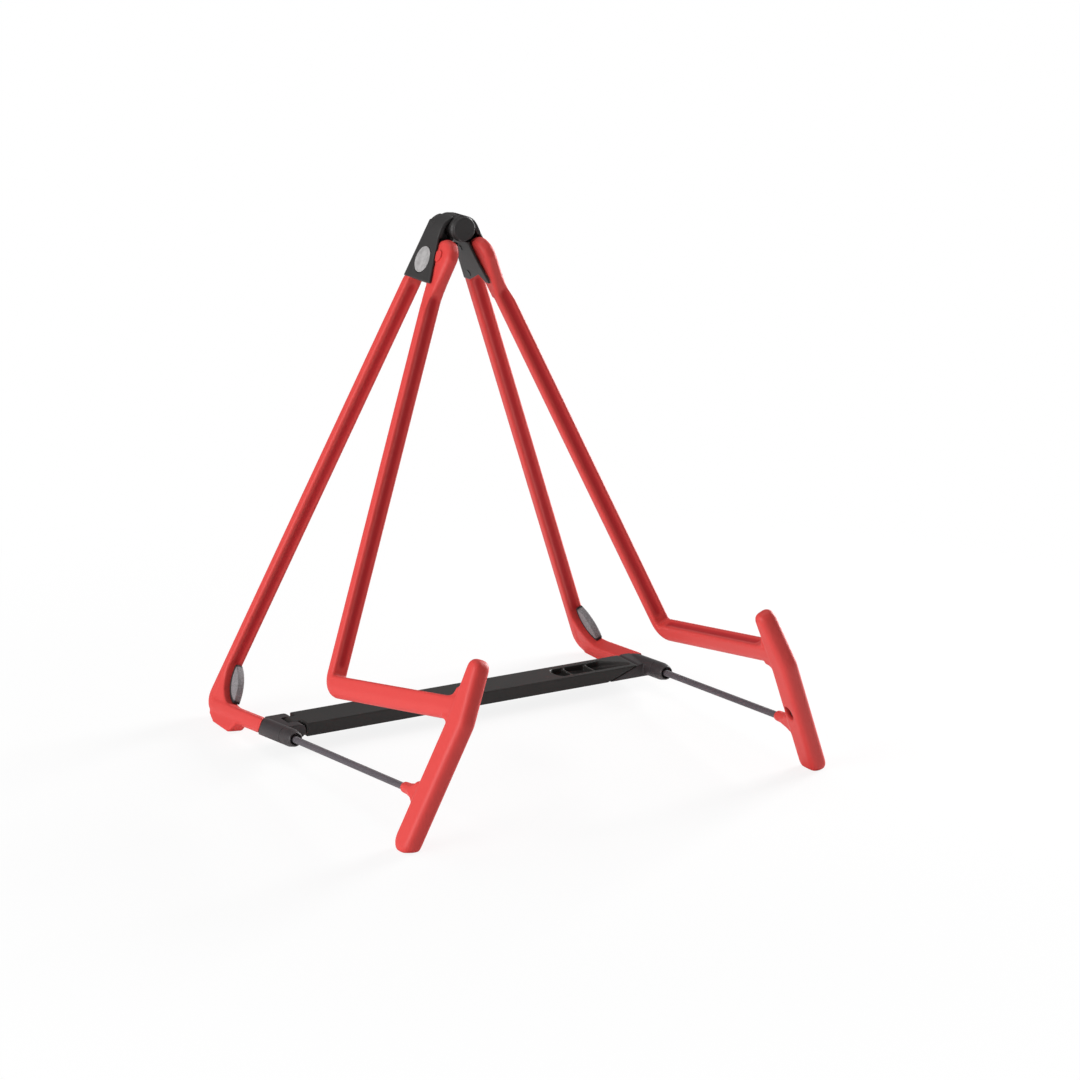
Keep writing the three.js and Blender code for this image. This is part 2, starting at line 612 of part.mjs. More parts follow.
// Makes a front leg's bar deeper from the knee on, so that its arm is deeper than its leg
function deepen(geometry, share) {
  const inward = [armForward[0] - frontDown[0], armForward[1] - frontDown[1]];
  const centre = step(frontKnee, inward, FRONT_KNEE_RADIUS);
  const position = geometry.attributes.position;
  for (let i = 0; i < position.count; i += 1) {
    const [dy, dz] = [position.getY(i) - centre[0], position.getZ(i) - centre[1]];
    const back = -(dy * armForward[0] + dz * armForward[1]);
    const below = -(dy * armUp[0] + dz * armUp[1]);
    if (below <= 0) continue;
    if (back <= 0) {
      const change = (below - FRONT_KNEE_RADIUS) * (share - 1);
      position.setY(i, position.getY(i) - armUp[0] * change);
      position.setZ(i, position.getZ(i) - armUp[1] * change);
      continue;
    }
    const radius = Math.hypot(back, below);
    const blend = Math.atan2(below, back) / (Math.PI / 2);
    const stretch = (FRONT_KNEE_RADIUS + (radius - FRONT_KNEE_RADIUS) * (1 + (share - 1) * blend)) / radius;
    position.setY(i, centre[0] + dy * stretch);
    position.setZ(i, centre[1] + dz * stretch);
  }
  return geometry;
}

// Apex cap, its cover and the front leg's pivot

const knuckleEnds = (() => {
  const frontEnd = FRONT_KNUCKLE_LENGTH - KNUCKLE_FRONT;
  const middleEnd = frontEnd + GAP + MIDDLE_KNUCKLE_LENGTH;
  return {
    front: [-KNUCKLE_FRONT, frontEnd],
    middle: [frontEnd + GAP, middleEnd],
    rear: [middleEnd + GAP, middleEnd + GAP + REAR_KNUCKLE_LENGTH],
  };
})();
const hingePinFrom = HINGE_PIN_WALL - KNUCKLE_FRONT;
const hingePinTo = knuckleEnds.rear[1] - HINGE_PIN_WALL;
const screwPlaces = {
  upper: [-UPPER_SCREW_AHEAD, -UPPER_SCREW_BELOW],
  lower: [-LOWER_SCREW_AHEAD, -LOWER_SCREW_BELOW],
};
const badgePlace = [-BADGE_AHEAD, -BADGE_BELOW];

// Outline in X and Z of the wall that bends over from the outer face to the hinge
function elbowOutline() {
  const across = [Math.cos(SPLAY), -Math.sin(SPLAY)];
  const up = [Math.sin(SPLAY), Math.cos(SPLAY)];
  const crown = step(hinge, up, KNUCKLE_RADIUS - CAP_CROWN_DROP);
  const underCrown = step(crown, up, -CAP_ELBOW_WALL);
  const corner = step(crown, across, (CAP_OUTER - crown[0]) / across[0]);
  const inner = CAP_OUTER - CAP_ELBOW_WALL;
  const innerCorner = step(underCrown, across, (inner - underCrown[0]) / across[0]);
  const shape = new THREE.Shape();
  shape.moveTo(CAP_OUTER, -CAP_FRONT_TURN);
  shape.lineTo(CAP_OUTER, corner[1] - CAP_ELBOW);
  shape.quadraticCurveTo(...corner, ...step(corner, across, -CAP_ELBOW));
  shape.lineTo(...crown);
  shape.lineTo(...underCrown);
  shape.lineTo(...step(innerCorner, across, -CAP_ELBOW / 2));
  shape.quadraticCurveTo(...innerCorner, inner, innerCorner[1] - CAP_ELBOW / 2);
  shape.lineTo(inner, -CAP_FRONT_TURN);
  shape.closePath();
  return shape;
}

// The sleeve that holds the top of the rear leg, as deep as the leg and a little wider
function capSleeve() {
  const top = [rearLineAt(CAP_SLEEVE_TOP), -CAP_SLEEVE_TOP];
  const end = step(top, rearDown, CAP_BOTTOM);
  const path = new THREE.LineCurve3(new THREE.Vector3(0, ...top), new THREE.Vector3(0, ...end));
  const section = barSection(CAP_OUTER, -LEG_DEPTH / 2 - LEG_EDGE, LEG_DEPTH / 2 - LEG_WIDTH / 2);
  const options = { steps: 1, bevelEnabled: false, curveSegments: 6, extrudePath: path };
  const reach = 2 * CAP_BOTTOM;
  const room = block([-BOSS_INNER, CAP_OUTER + OVERRUN], [-reach, reach], [-CAP_BOTTOM, 0]);
  return common(new THREE.ExtrudeGeometry(section, options), room);
}

function apexCap(own, others, collar) {
  const wall = plateX(
    polygon([
      [-CAP_FRONT_LOW, -CAP_BOTTOM],
      [rearLineAt(CAP_BOTTOM) + LEG_EDGE, -CAP_BOTTOM],
      [CAP_BACK_HIGH, -CAP_FRONT_TURN + OVERRUN],
      [-CAP_FRONT_HIGH, -CAP_FRONT_TURN + OVERRUN],
      [-CAP_FRONT_HIGH, -CAP_FRONT_TURN],
    ]),
    capInner,
    CAP_OUTER,
    CAP_EDGE,
  );
  const boss = plateX(
    polygon([
      [-BOSS_FRONT, -BOSS_FRONT_BELOW],
      [rearLineAt(CAP_BOTTOM) - BOSS_FLAT, -CAP_BOTTOM],
      [rearLineAt(CAP_BOTTOM), -CAP_BOTTOM],
      [rearLineAt(CAP_SLEEVE_TOP), -CAP_SLEEVE_TOP],
      [-BOSS_FRONT, -CAP_SLEEVE_TOP],
    ]),
    -BOSS_INNER,
    capInner + CAP_WALL / 2,
  );
  const elbow = plateY(elbowOutline(), -CAP_FRONT_HIGH, CAP_BACK_HIGH);
  const knuckles = own.map(([from, to]) => rodY(KNUCKLE_RADIUS, from, to, hinge));
  const collarFront = COLLAR_BEHIND - KNUCKLE_FRONT;
  if (collar) {
    knuckles.push(rodY(COLLAR_RADIUS, collarFront, collarFront + COLLAR_THICKNESS, hinge));
  }
  const whole = join(wall, capSleeve(), boss, elbow, ...knuckles);

  const socketMouth = step([0, 0], rearDown, (CAP_BOTTOM + OVERRUN) / Math.cos(REAR_LEAN));
  const socketRun = (CAP_BOTTOM + OVERRUN - CAP_SPIGOT_TOP + GAP) / Math.cos(REAR_LEAN);
  const socket = block(
    [-CAP_SPIGOT_WIDTH / 2 - GAP, CAP_SPIGOT_WIDTH / 2 + GAP],
    [-CAP_SPIGOT_DEPTH / 2 - GAP, CAP_SPIGOT_DEPTH / 2 + GAP],
    [0, socketRun],
  );
  socket.rotateX(REAR_LEAN).translate(0, ...socketMouth);
  const pinBore = rodY(HINGE_PIN_RADIUS + GAP, hingePinFrom - GAP, hingePinTo + GAP, hinge);
  const room = others.map(([from, to]) =>
    rodY(KNUCKLE_RADIUS + GAP, from - GAP, to + GAP, hinge),
  );
  const pivotSeat = rodX(PIVOT_PIN_RADIUS + GAP, 0, pinOuter + GAP, pivot);
  const badgeFloor = CAP_OUTER + BADGE_PROUD - BADGE_THICKNESS - GAP;
  const badgeSeat = rodX(BADGE_RADIUS + GAP, badgeFloor, CAP_OUTER + OVERRUN, badgePlace);
  const screwSeats = Object.values(screwPlaces).map((place) =>
    rodX(SCREW_RADIUS + GAP, -CAP_OUTER - OVERRUN, screwTip + GAP, place),
  );
  return cut(whole, socket, pinBore, ...room, pivotSeat, badgeSeat, ...screwSeats);
}

function capCover(fin) {
  const backHigh = rearLineAt(COVER_TOP) - COVER_BACK;
  const backLow = rearLineAt(CAP_BOTTOM) - COVER_BACK;
  const finTip = [
    [-COVER_FRONT_LOW, -COVER_FIN_BELOW],
    [COVER_FIN_WIDTH - COVER_FRONT_LOW, -COVER_FIN_BELOW],
  ];
  const shape = polygon([
    [-COVER_FRONT_HIGH, -COVER_TOP],
    [-COVER_FRONT_MIDDLE, -COVER_MIDDLE_BELOW],
    ...(fin ? finTip : []),
    [-COVER_NOTCH_AHEAD, -COVER_NOTCH_BELOW],
    [rearLineAt(CAP_BOTTOM) - BOSS_FLAT, -CAP_BOTTOM],
    [backLow, -CAP_BOTTOM],
    [backHigh, -COVER_TOP],
  ]);
  const plate = plateX(shape, coverOuter, coverInner);
  const holes = Object.values(screwPlaces).flatMap((place) => [
    rodX(SCREW_RADIUS + GAP, coverOuter - OVERRUN, coverInner + OVERRUN, place),
    rodX(SCREW_HEAD_RADIUS + GAP, coverOuter - OVERRUN, coverOuter + SCREW_HEAD_DEPTH, place),
  ]);
  return cut(plate, ...holes);
}

function coverScrew(place) {
  const headFace = coverOuter - GAP;
  const head = rodX(SCREW_HEAD_RADIUS, headFace, headFace + SCREW_HEAD_DEPTH, place);
  return join(head, rodX(SCREW_RADIUS, headFace, screwTip, place));
}

const pivotPin = () => rodX(PIVOT_PIN_RADIUS, pinInner, pinOuter, pivot);

function pivotWasher() {
  const ring = rodX(WASHER_RADIUS, washerInner, headOuter, pivot);
  return cut(ring, rodX(PIVOT_PIN_RADIUS + GAP, pinInner, pinOuter, pivot));
}

function badge() {
  const face = CAP_OUTER + BADGE_PROUD;
  return rodX(BADGE_RADIUS, face - BADGE_THICKNESS, face, badgePlace);
}

// Foot sleeves, cord anchors and cross bar

const barFront = step(sleeveStart, footForward, SLEEVE_LENGTH)[0] + BAR_BEHIND_NOSE;
const barBack = barFront + BAR_DEPTH;
const barTop = BAR_MIDDLE_HEIGHT + BAR_HEIGHT / 2;
const barBottom = BAR_MIDDLE_HEIGHT - BAR_HEIGHT / 2;
const barHinge = standPlace(BAR_HINGE_INSIDE, BAR_MIDDLE_HEIGHT);
const barKnuckle = (() => {
  const middle = (barBack + barFront) / 2;
  return [middle - BAR_KNUCKLE_LENGTH / 2, middle + BAR_KNUCKLE_LENGTH / 2];
})();

// The ramp on the right sleeve follows a circle about the stand's hinge
const sleeveMiddle = standPlace(0, BAR_MIDDLE_HEIGHT)[0];
const rampTop = sleeveMiddle - RAMP_TOP_INSIDE;
const rampRadius = Math.hypot(rampTop, hingeHeight - barTop);

// Adds that circle, from the bar's underside to its top, to an outline in X and Z
function addRamp(shape, radius) {
  const [from, to] = [barBottom, barTop].map(
    (height) => Math.acos((hingeHeight - height) / radius) - Math.PI / 2,
  );
  shape.absarc(0, hingeHeight, radius, from, to, false);
}

// A round solid along the foot bar's line, between two distances from where the sleeve starts
function footTurned(radius, from, to) {
  const profile = [
    [0, from],
    [radius, from],
    [radius, to],
    [0, to],
  ];
  return turned(profile, sleeveStart, footForward);
}

// A foot sleeve round the foot bar's line, joined to its own block for the cross bar
function footSleeve(blockShape, cutters) {
  const back = -LEG_WIDTH * Math.tan(FOOT_SLANT);
  const tube = footTurned(SLEEVE_RADIUS, back, SLEEVE_LENGTH);
  const plugSeat = SLEEVE_LENGTH - ANCHOR_PLUG_LENGTH - GAP;
  const body = join(intoStand(tube), plateY(blockShape, barFront, barBack));
  return cut(
    body,
    intoStand(slantCutter(sleeveStart, 1)),
    intoStand(footTurned(FOOT_SPIGOT_RADIUS + GAP, back, SLEEVE_LENGTH + OVERRUN)),
    intoStand(footTurned(ANCHOR_PLUG_RADIUS + GAP, plugSeat, SLEEVE_LENGTH + OVERRUN)),
    ...cutters,
  );
}

function leftSleeve() {
  const [x, z] = barHinge;
  const radius = BAR_HEIGHT / 2;
  const outline = new THREE.Shape();
  outline.absarc(x, z, radius, Math.PI / 2, -Math.PI / 2, false);
  outline.lineTo(sleeveMiddle, barBottom);
  outline.lineTo(sleeveMiddle, barTop);
  outline.closePath();
  const [from, to] = [barKnuckle[0] - GAP, barKnuckle[1] + GAP];
  return footSleeve(outline, [
    block([x - radius - OVERRUN, x], [from, to], [barBottom - OVERRUN, barTop + OVERRUN]),
    block([x - OVERRUN, x + radius + GAP], [from, to], [z, barTop + OVERRUN]),
    rodY(radius + GAP, from, to, barHinge),
    rodY(BAR_PIN_RADIUS + GAP, barFront + BAR_PIN_WALL - GAP, barBack + OVERRUN, barHinge),
  ]);
}

function rightSleeve() {
  const outline = new THREE.Shape();
  addRamp(outline, rampRadius);
  outline.lineTo(sleeveMiddle, barTop);
  outline.lineTo(sleeveMiddle, barBottom);
  outline.closePath();
  return footSleeve(outline, []);
}

function cordAnchor() {
  const nose = SLEEVE_LENGTH + GAP;
  const tip = nose + ANCHOR_NOSE_LENGTH;
  const plug = SLEEVE_LENGTH - ANCHOR_PLUG_LENGTH;
  const rounding = ANCHOR_TIP_RADIUS - ANCHOR_MOUTH_RADIUS;
  const profile = [
    [0, plug],
    [ANCHOR_PLUG_RADIUS, plug],
    [ANCHOR_PLUG_RADIUS, nose],
    [SLEEVE_RADIUS, nose],
    [SLEEVE_RADIUS, (nose + tip) / 2],
    [ANCHOR_TIP_RADIUS, tip - rounding],
    [ANCHOR_MOUTH_RADIUS + GAP, tip],
    [0, tip],
  ];
  const pocketEnd = plug + 2 * ANCHOR_KNOT_RADIUS + 2 * GAP;
  return cut(
    turned(profile, sleeveStart, footForward),
    footTurned(ANCHOR_KNOT_RADIUS + GAP, plug - OVERRUN, pocketEnd),
    footTurned(ANCHOR_MOUTH_RADIUS, tip - ANCHOR_MOUTH_DEPTH, tip + OVERRUN),
    cordBore(anchorKnot, cordForward, 0, tip - plug),
  );
}

function crossBar() {
  const radius = BAR_HEIGHT / 2;
  const [hingeX, hingeZ] = [-barHinge[0], barHinge[1]];
  const start = hingeX + radius + GAP;
  const outline = new THREE.Shape();
  outline.moveTo(start, barTop);
  outline.lineTo(start, barBottom);
  addRamp(outline, rampRadius - GAP);
  outline.closePath();
  const body = plateY(outline, barFront, barBack);
  const knuckle = rodY(radius, ...barKnuckle, [hingeX, hingeZ]);
  const neck = block([hingeX, start + OVERRUN], barKnuckle, [barBottom, barTop]);
  const pin = rodY(BAR_PIN_RADIUS + GAP, barFront, barBack, [hingeX, hingeZ]);
  const [pocket, ribs] = barPocket(rampTop - POCKET_FROM_END);
  return join(cut(join(body, knuckle, neck), pin, pocket), ...ribs);
}

// The pocket in the bar's top, pointed at its right end, and the ribs across it
function barPocket(right) {
  const left = right - POCKET_LENGTH;
  const floor = barTop - POCKET_DEPTH;
  const profile = polygon([
    [left, floor],
    [right - POCKET_SLOPE_LENGTH, floor],
    [right, barTop - POCKET_END_DEPTH],
    [right, barTop + OVERRUN],
    [left, barTop + OVERRUN],
  ]);
  const rimFront = barFront + POCKET_FRONT_RIM;
  const rimBack = barBack - POCKET_BACK_RIM;
  const middle = (rimFront + rimBack) / 2;
  const plan = new THREE.Shape();
  plan.moveTo(left, middle);
  plan.quadraticCurveTo(left, rimFront, left + POCKET_DEPTH, rimFront);
  plan.lineTo(right, rimFront);
  plan.lineTo(right, rimFront + POCKET_TIP_WIDTH);
  plan.lineTo(right - POCKET_SLOPE_LENGTH, rimBack);
  plan.lineTo(left + POCKET_DEPTH, rimBack);
  plan.quadraticCurveTo(left, rimBack, left, middle);
  const pocket = common(plateY(profile, barFront, barBack), thicken(plan, barTop + OVERRUN, 0));
  const ribs = [0, 1].map((i) => {
    const x = left + RIB_FROM_POCKET_START + i * RIB_SPACING;
    return block(
      [x, x + RIB_THICKNESS],
      [rimFront - RIB_THICKNESS, rimBack + RIB_THICKNESS],
      [floor - RIB_THICKNESS, barTop - RIB_DROP],
    );
  });
  return [pocket, ribs];
}

function barPin() {
  const from = barFront + BAR_PIN_WALL;
  return rodY(BAR_PIN_RADIUS, from, barBack - GAP, [-barHinge[0], barHinge[1]]);
}

// Cord with its two end knots

function cord() {
  const start = step(anchorKnot, cordForward, ANCHOR_KNOT_RADIUS + GAP);
  const end = step(hornKnot, bendForward, -KNOT_RADIUS - GAP);
  const route = new CornerRoute(start, cordBend, end, CORD_RADIUS * 2, 3);
  const section = polygon(
    Array.from({ length: CORD_SIDES }, (_, i) => {
      const angle = (2 * Math.PI * i) / CORD_SIDES;
      return [CORD_RADIUS * Math.cos(angle), CORD_RADIUS * Math.sin(angle)];
    }),
  );
  const options = { steps: route.steps, bevelEnabled: false, extrudePath: route };
  return new THREE.ExtrudeGeometry(section, options);
}

function knot(place, radius) {
  return new THREE.SphereGeometry(radius, 12, 8).translate(0, ...place);
}

// Assembly

function piece(group, name, geometry, finish) {
  const mesh = new THREE.Mesh(geometry, new THREE.MeshStandardMaterial(finish));
  mesh.name = name;
  group.add(mesh);
}

function addSide(parent, side, parts) {
  const plane = new THREE.Group();
  plane.rotation.y = -SPLAY;
  plane.position.z = APEX_HEIGHT;
  parent.add(plane);
  piece(plane, `rear_leg_${side}`, rearLeg(), RED);
  piece(plane, `front_leg_${side}`, frontLeg(), RED);
  piece(plane, `apex_cap_${side}`, parts.cap, BLACK);
  piece(plane, `cap_cover_${side}`, capCover(parts.fin), BLACK);
  piece(plane, `cover_screw_upper_${side}`, coverScrew(screwPlaces.upper), STEEL);
  piece(plane, `cover_screw_lower_${side}`, coverScrew(screwPlaces.lower), STEEL);
  piece(plane, `front_pivot_pin_${side}`, pivotPin(), STEEL);
  piece(plane, `pivot_washer_${side}`, pivotWasher(), STEEL);
  piece(plane, `badge_disc_${side}`, badge(), GREY);
  piece(plane, `corner_pad_${side}`, cornerPad(parts.padOffset), RUBBER);
  piece(plane, `cord_anchor_${side}`, cordAnchor(), BLACK);
  piece(plane, `cord_${side}`, cord(), CORD_BLACK);
  piece(plane, `cord_rear_knot_${side}`, knot(anchorKnot, ANCHOR_KNOT_RADIUS), CORD_BLACK);
  piece(plane, `cord_front_knot_${side}`, knot(hornKnot, KNOT_RADIUS), CORD_BLACK);
  piece(parent, `foot_sleeve_${side}`, parts.sleeve, BLACK);
}

const stand = new THREE.Group();
const left = new THREE.Group();
left.scale.x = -1;
stand.add(left);
const { front, middle, rear } = knuckleEnds;
addSide(left, "left", {
  cap: apexCap([middle], [front, rear], false),
  fin: false,
  padOffset: -PAD_OFFSET,
  sleeve: leftSleeve(),
});
addSide(stand, "right", {
  cap: apexCap([front, rear], [middle], true),
  fin: true,
  padOffset: PAD_OFFSET,
  sleeve: rightSleeve(),
});
const apexPin = rodY(HINGE_PIN_RADIUS, hingePinFrom, hingePinTo, [0, hingeHeight]);
piece(stand, "apex_hinge_pin", apexPin, STEEL);
piece(stand, "cross_bar", crossBar(), BLACK);
piece(stand, "bar_hinge_pin", barPin(), STEEL);

// The middle of the whole stand goes over the origin
stand.updateMatrixWorld(true);
const extent = new THREE.Box3().setFromObject(stand, true);
stand.position.y = -(extent.min.y + extent.max.y) / 2;

export default stand;
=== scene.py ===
"""Looks of the folding guitar stand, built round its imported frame."""

import logging
import math
from dataclasses import dataclass
from enum import Enum

import bmesh
import bpy
import numpy as np
from mathutils import Matrix, Vector
from mathutils.kdtree import KDTree


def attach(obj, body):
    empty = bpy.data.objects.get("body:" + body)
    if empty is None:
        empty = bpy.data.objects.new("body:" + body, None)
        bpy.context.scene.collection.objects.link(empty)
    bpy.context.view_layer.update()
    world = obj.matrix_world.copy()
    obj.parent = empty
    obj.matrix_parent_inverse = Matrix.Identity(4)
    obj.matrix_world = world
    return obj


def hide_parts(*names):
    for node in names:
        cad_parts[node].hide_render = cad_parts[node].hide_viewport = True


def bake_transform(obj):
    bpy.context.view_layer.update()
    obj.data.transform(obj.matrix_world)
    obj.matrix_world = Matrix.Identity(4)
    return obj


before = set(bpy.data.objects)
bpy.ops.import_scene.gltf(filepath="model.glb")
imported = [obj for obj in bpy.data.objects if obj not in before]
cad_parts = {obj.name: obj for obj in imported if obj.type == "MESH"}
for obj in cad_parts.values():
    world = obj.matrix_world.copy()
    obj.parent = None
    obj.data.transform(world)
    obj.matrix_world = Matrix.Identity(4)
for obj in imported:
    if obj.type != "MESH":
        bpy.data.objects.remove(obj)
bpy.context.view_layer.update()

log = logging.getLogger("guitar_stand")

Colour = tuple[float, float, float]
Place = tuple[float, float]  # along Y and up in a side's own plane, in metres
Span = tuple[float, float]

MM = 0.001
APEX_HEIGHT = 279.6 * MM  # where the two sides' planes meet, above the floor
SPLAY = math.radians(22.87)  # of each side's plane from upright
SHIFT = 62.836 * MM  # of the sides' own frame along Y
MERGE = 0.002 * MM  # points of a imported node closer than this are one
CURVE_STEPS = 5
NOISE_MIDDLE = 0.5
WHITE = (1.0, 1.0, 1.0, 1.0)


class Side(Enum):
    """The two mirrored sides; the value is the sign of X."""

    LEFT = -1
    RIGHT = 1

    @property
    def word(self) -> str:
        """The side's name as the nodes spell it."""
        return self.name.lower()

    @property
    def body(self) -> str:
        """The body that the side's fixed pieces ride on."""
        return f"{self.word}_side"

    @property
    def front_body(self) -> str:
        """The body of the side's front leg."""
        return f"front_leg_{self.word}"

    @property
    def outward(self) -> Vector:
        """Direction square to the side's plane, away from the stand's middle."""
        return Vector((self.value * math.cos(SPLAY), 0, math.sin(SPLAY)))

    def into_stand(self, ahead: float, up: float, out: float = 0.0) -> Vector:
        """A place in the stand from one in the side's own plane.

        Args:
            ahead: Along Y from the apex, in metres, negative towards the front.
            up: Along the plane from the apex, negative downwards.
            out: Square to the plane, away from the stand's middle.

        Returns:
            The place in the stand's frame.
        """
        x = -up * math.sin(SPLAY) + out * math.cos(SPLAY)
        z = APEX_HEIGHT + up * math.cos(SPLAY) + out * math.sin(SPLAY)
        return Vector((self.value * x, ahead + SHIFT, z))


class Slot(Enum):
    """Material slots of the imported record."""

    LEG = "leg_red"
    CAP = "cap_black"
    FITTING = "fitting_black"
    BAR = "bar_black"
    BADGE = "badge_grey"
    PAD = "pad_rubber"
    CORD = "cord_black"


class Socket:
    """A node's output whose arithmetic adds Math nodes."""

    def __init__(self, painter: "Painter", output: bpy.types.NodeSocket) -> None:
        """Keeps the painter and the output."""
        self.painter = painter
        self.output = output

    def apply(self, operation: str, *operands: "Socket | float") -> "Socket":
        """Adds one Math node.

        Args:
            operation: The Math node's operation.
            operands: Its inputs in order, as sockets or numbers.

        Returns:
            The node's output.
        """
        inputs = dict(enumerate(operands))
        return self.painter.node("Math", {"operation": operation}, inputs)["Value"]

    def __add__(self, other: "Socket | float") -> "Socket":
        """Sum."""
        return self.apply("ADD", self, other)

    __radd__ = __add__

    def __sub__(self, other: "Socket | float") -> "Socket":
        """Difference."""
        return self.apply("SUBTRACT", self, other)

    def __rsub__(self, other: float) -> "Socket":
        """Difference from a number."""
        return self.apply("SUBTRACT", other, self)

    def __mul__(self, other: "Socket | float") -> "Socket":
        """Product."""
        return self.apply("MULTIPLY", self, other)

    __rmul__ = __mul__

    def larger(self, other: "Socket | float") -> "Socket":
        """The larger of two."""
        return self.apply("MAXIMUM", self, other)

    def wave(self) -> "Socket":
        """Sine of the value."""
        return self.apply("SINE", self)

    def size(self) -> "Socket":
        """Absolute value."""
        return self.apply("ABSOLUTE", self)

    def ramp(self, low: float, high: float) -> "Socket":
        """Smooth step from 0 at low to 1 at high."""
        smooth, node = {"interpolation_type": "SMOOTHSTEP"}, self.painter.node
        return node("MapRange", smooth, Value=self, From_Min=low, From_Max=high)["Result"]


class Outputs:
    """A node's outputs, each as a socket."""

    def __init__(self, painter: "Painter", node: bpy.types.Node) -> None:
        """Keeps the painter and the node."""
        self.painter = painter
        self.node = node

    def __getitem__(self, key: str | int) -> Socket:
        """The output of this name or place."""
        return Socket(self.painter, self.node.outputs[key])


@dataclass(frozen=True)
class Noise:
    """One noise over object coordinates."""

    scale: float  # waves in a metre
    detail: float = 3.0
    roughness: float = 0.55


class Painter:
    """Adds the nodes of one material or world."""

    MIX_SHARE, MIX_LOW, MIX_HIGH, MIX_RESULT = 0, 6, 7, 2  # a Mix node's sockets for colours

    def __init__(self, owner: bpy.types.Material | bpy.types.World) -> None:
        """Empties the owner's node tree.

        Args:
            owner: The material or world.
        """
        owner.use_nodes = True
        self.owner = owner
        self.tree = owner.node_tree
        self.tree.nodes.clear()

    def node(
        self,
        kind: str,
        settings: dict[str, object] | None = None,
        numbered: dict[int, object] | None = None,
        **named: object,
    ) -> Outputs:
        """Adds one node.

        Args:
            kind: The node's type without its ShaderNode prefix.
            settings: The node's properties, set before its sockets.
            numbered: Values or links of its sockets, by their places.
            named: Values or links of its sockets, by name with _ for a space.

        Returns:
            The node's outputs.
        """
        node = self.tree.nodes.new(f"ShaderNode{kind}")
        for key, value in (settings or {}).items():
            setattr(node, key, value)
        inputs = {key.replace("_", " "): value for key, value in named.items()}
        for key, value in {**(numbered or {}), **inputs}.items():
            if isinstance(value, Socket):
                self.tree.links.new(value.output, node.inputs[key])
            else:
                node.inputs[key].default_value = value
        return Outputs(self, node)

    def place(self) -> Socket:
        """Object coordinates in metres."""
        return self.node("TexCoord")["Object"]

    def noise(self, kind: Noise) -> Socket:
        """The noise's value, about 0.5 in the middle."""
        sizes = {"Scale": kind.scale, "Detail": kind.detail, "Roughness": kind.roughness}
        return self.node("TexNoise", Vector=self.place(), **sizes)[0]

    def attribute(self, name: str) -> Socket:
        """A number kept on the mesh's points."""
        return self.node("Attribute", {"attribute_name": name})["Fac"]

    def blend(self, low: Colour | Socket, high: Colour | Socket, share: Socket) -> Socket:
        """Colour between two.

        Args:
            low: Colour where the share is 0.
            high: Colour where the share is 1.
            share: The share.

        Returns:
            The mixed colour.
        """
        low, high = (end if isinstance(end, Socket) else (*end, 1) for end in (low, high))
        inputs = {self.MIX_SHARE: share, self.MIX_LOW: low, self.MIX_HIGH: high}
        return self.node("Mix", {"data_type": "RGBA"}, inputs)[self.MIX_RESULT]

    def relief(self, height: Socket, depth: float) -> Socket:
        """Normal bumped by a relief from 0 to 1 of this depth in metres."""
        return self.node("Bump", Strength=1.0, Distance=depth, Height=height)["Normal"]

    def end(self, shader: Socket) -> None:
        """Ends the material or the world with a shader."""
        world = isinstance(self.owner, bpy.types.World)
        self.node("OutputWorld" if world else "OutputMaterial", Surface=shader)

    def principled(self, **inputs: object) -> None:
        """Ends the material with one Principled BSDF of these inputs."""
        self.end(self.node("BsdfPrincipled", **inputs)["BSDF"])


class Finish:
    """A finish that makes its material once."""

    name: str
    made: dict["Finish", bpy.types.Material] = {}

    def paint(self, painter: Painter) -> None:
        """Adds the material's nodes."""
        raise NotImplementedError

    def material(self) -> bpy.types.Material:
        """Makes the material at its first use.

        Returns:
            The material.
        """
        if self not in Finish.made:
            painter = Painter(bpy.data.materials.new(self.name))
            self.paint(painter)
            Finish.made[self] = painter.owner
        return Finish.made[self]

    def dress(self, piece: bpy.types.Object) -> None:
        """Gives a piece this finish alone."""
        piece.data.materials.clear()
        piece.data.materials.append(self.material())


@dataclass(frozen=True)
class MouldedPlastic(Finish):
    """Satin moulded plastic with a fine grain, faint flow marks, light wear and painted shade in
    its channels.
    """

    name: str
    colour: Colour
    worn: Colour
    # painted shade: the darker colour laid into the channel's hollow
    channel: Colour
    roughness: float
    gloss: float = 0.4
    coat: float = 0.06
    coat_roughness: float = 0.35
    flow: Noise = Noise(45.0, 2.0)
    flow_worn: Span = (0.42, 0.62)
    wear: Noise = Noise(420.0, 4.0, 0.7)
    wear_worn: Span = (0.6, 0.76)
    grain: Noise = Noise(1500.0, 2.0, 0.6)
    grain_depth: float = 0.03 * MM
    channel_range: Span = (0.15, 1.0)
    wear_tint: float = 0.35
    flow_tint: float = 0.5
    wear_roughness: float = 0.1
    grain_roughness: float = 0.08
    channel_roughness: float = 0.3

    def paint(self, painter: Painter) -> None:
        """Adds the nodes; the mesh's channel number paints shade into the channel.

        Args:
            painter: The material's painter.
        """
        flow, grain = painter.noise(self.flow), painter.noise(self.grain)
        wear = painter.noise(self.wear).ramp(*self.wear_worn) * flow.ramp(*self.flow_worn)
        tint = wear * self.wear_tint + (flow - NOISE_MIDDLE) * self.flow_tint
        tone = painter.blend(self.colour, self.worn, tint)
        # painted shade: the colour darkens with the channel's depth, which also adds roughness
        share = painter.attribute("channel").ramp(*self.channel_range)
        rough = (wear + flow - NOISE_MIDDLE) * self.wear_roughness + self.roughness
        painter.principled(
            Base_Color=painter.blend(tone, self.channel, share),
            Roughness=rough + grain * self.grain_roughness + share * self.channel_roughness,
            Normal=painter.relief(grain, self.grain_depth),
            Specular_IOR_Level=self.gloss,
            Coat_Weight=self.coat,
            Coat_Roughness=self.coat_roughness,
        )


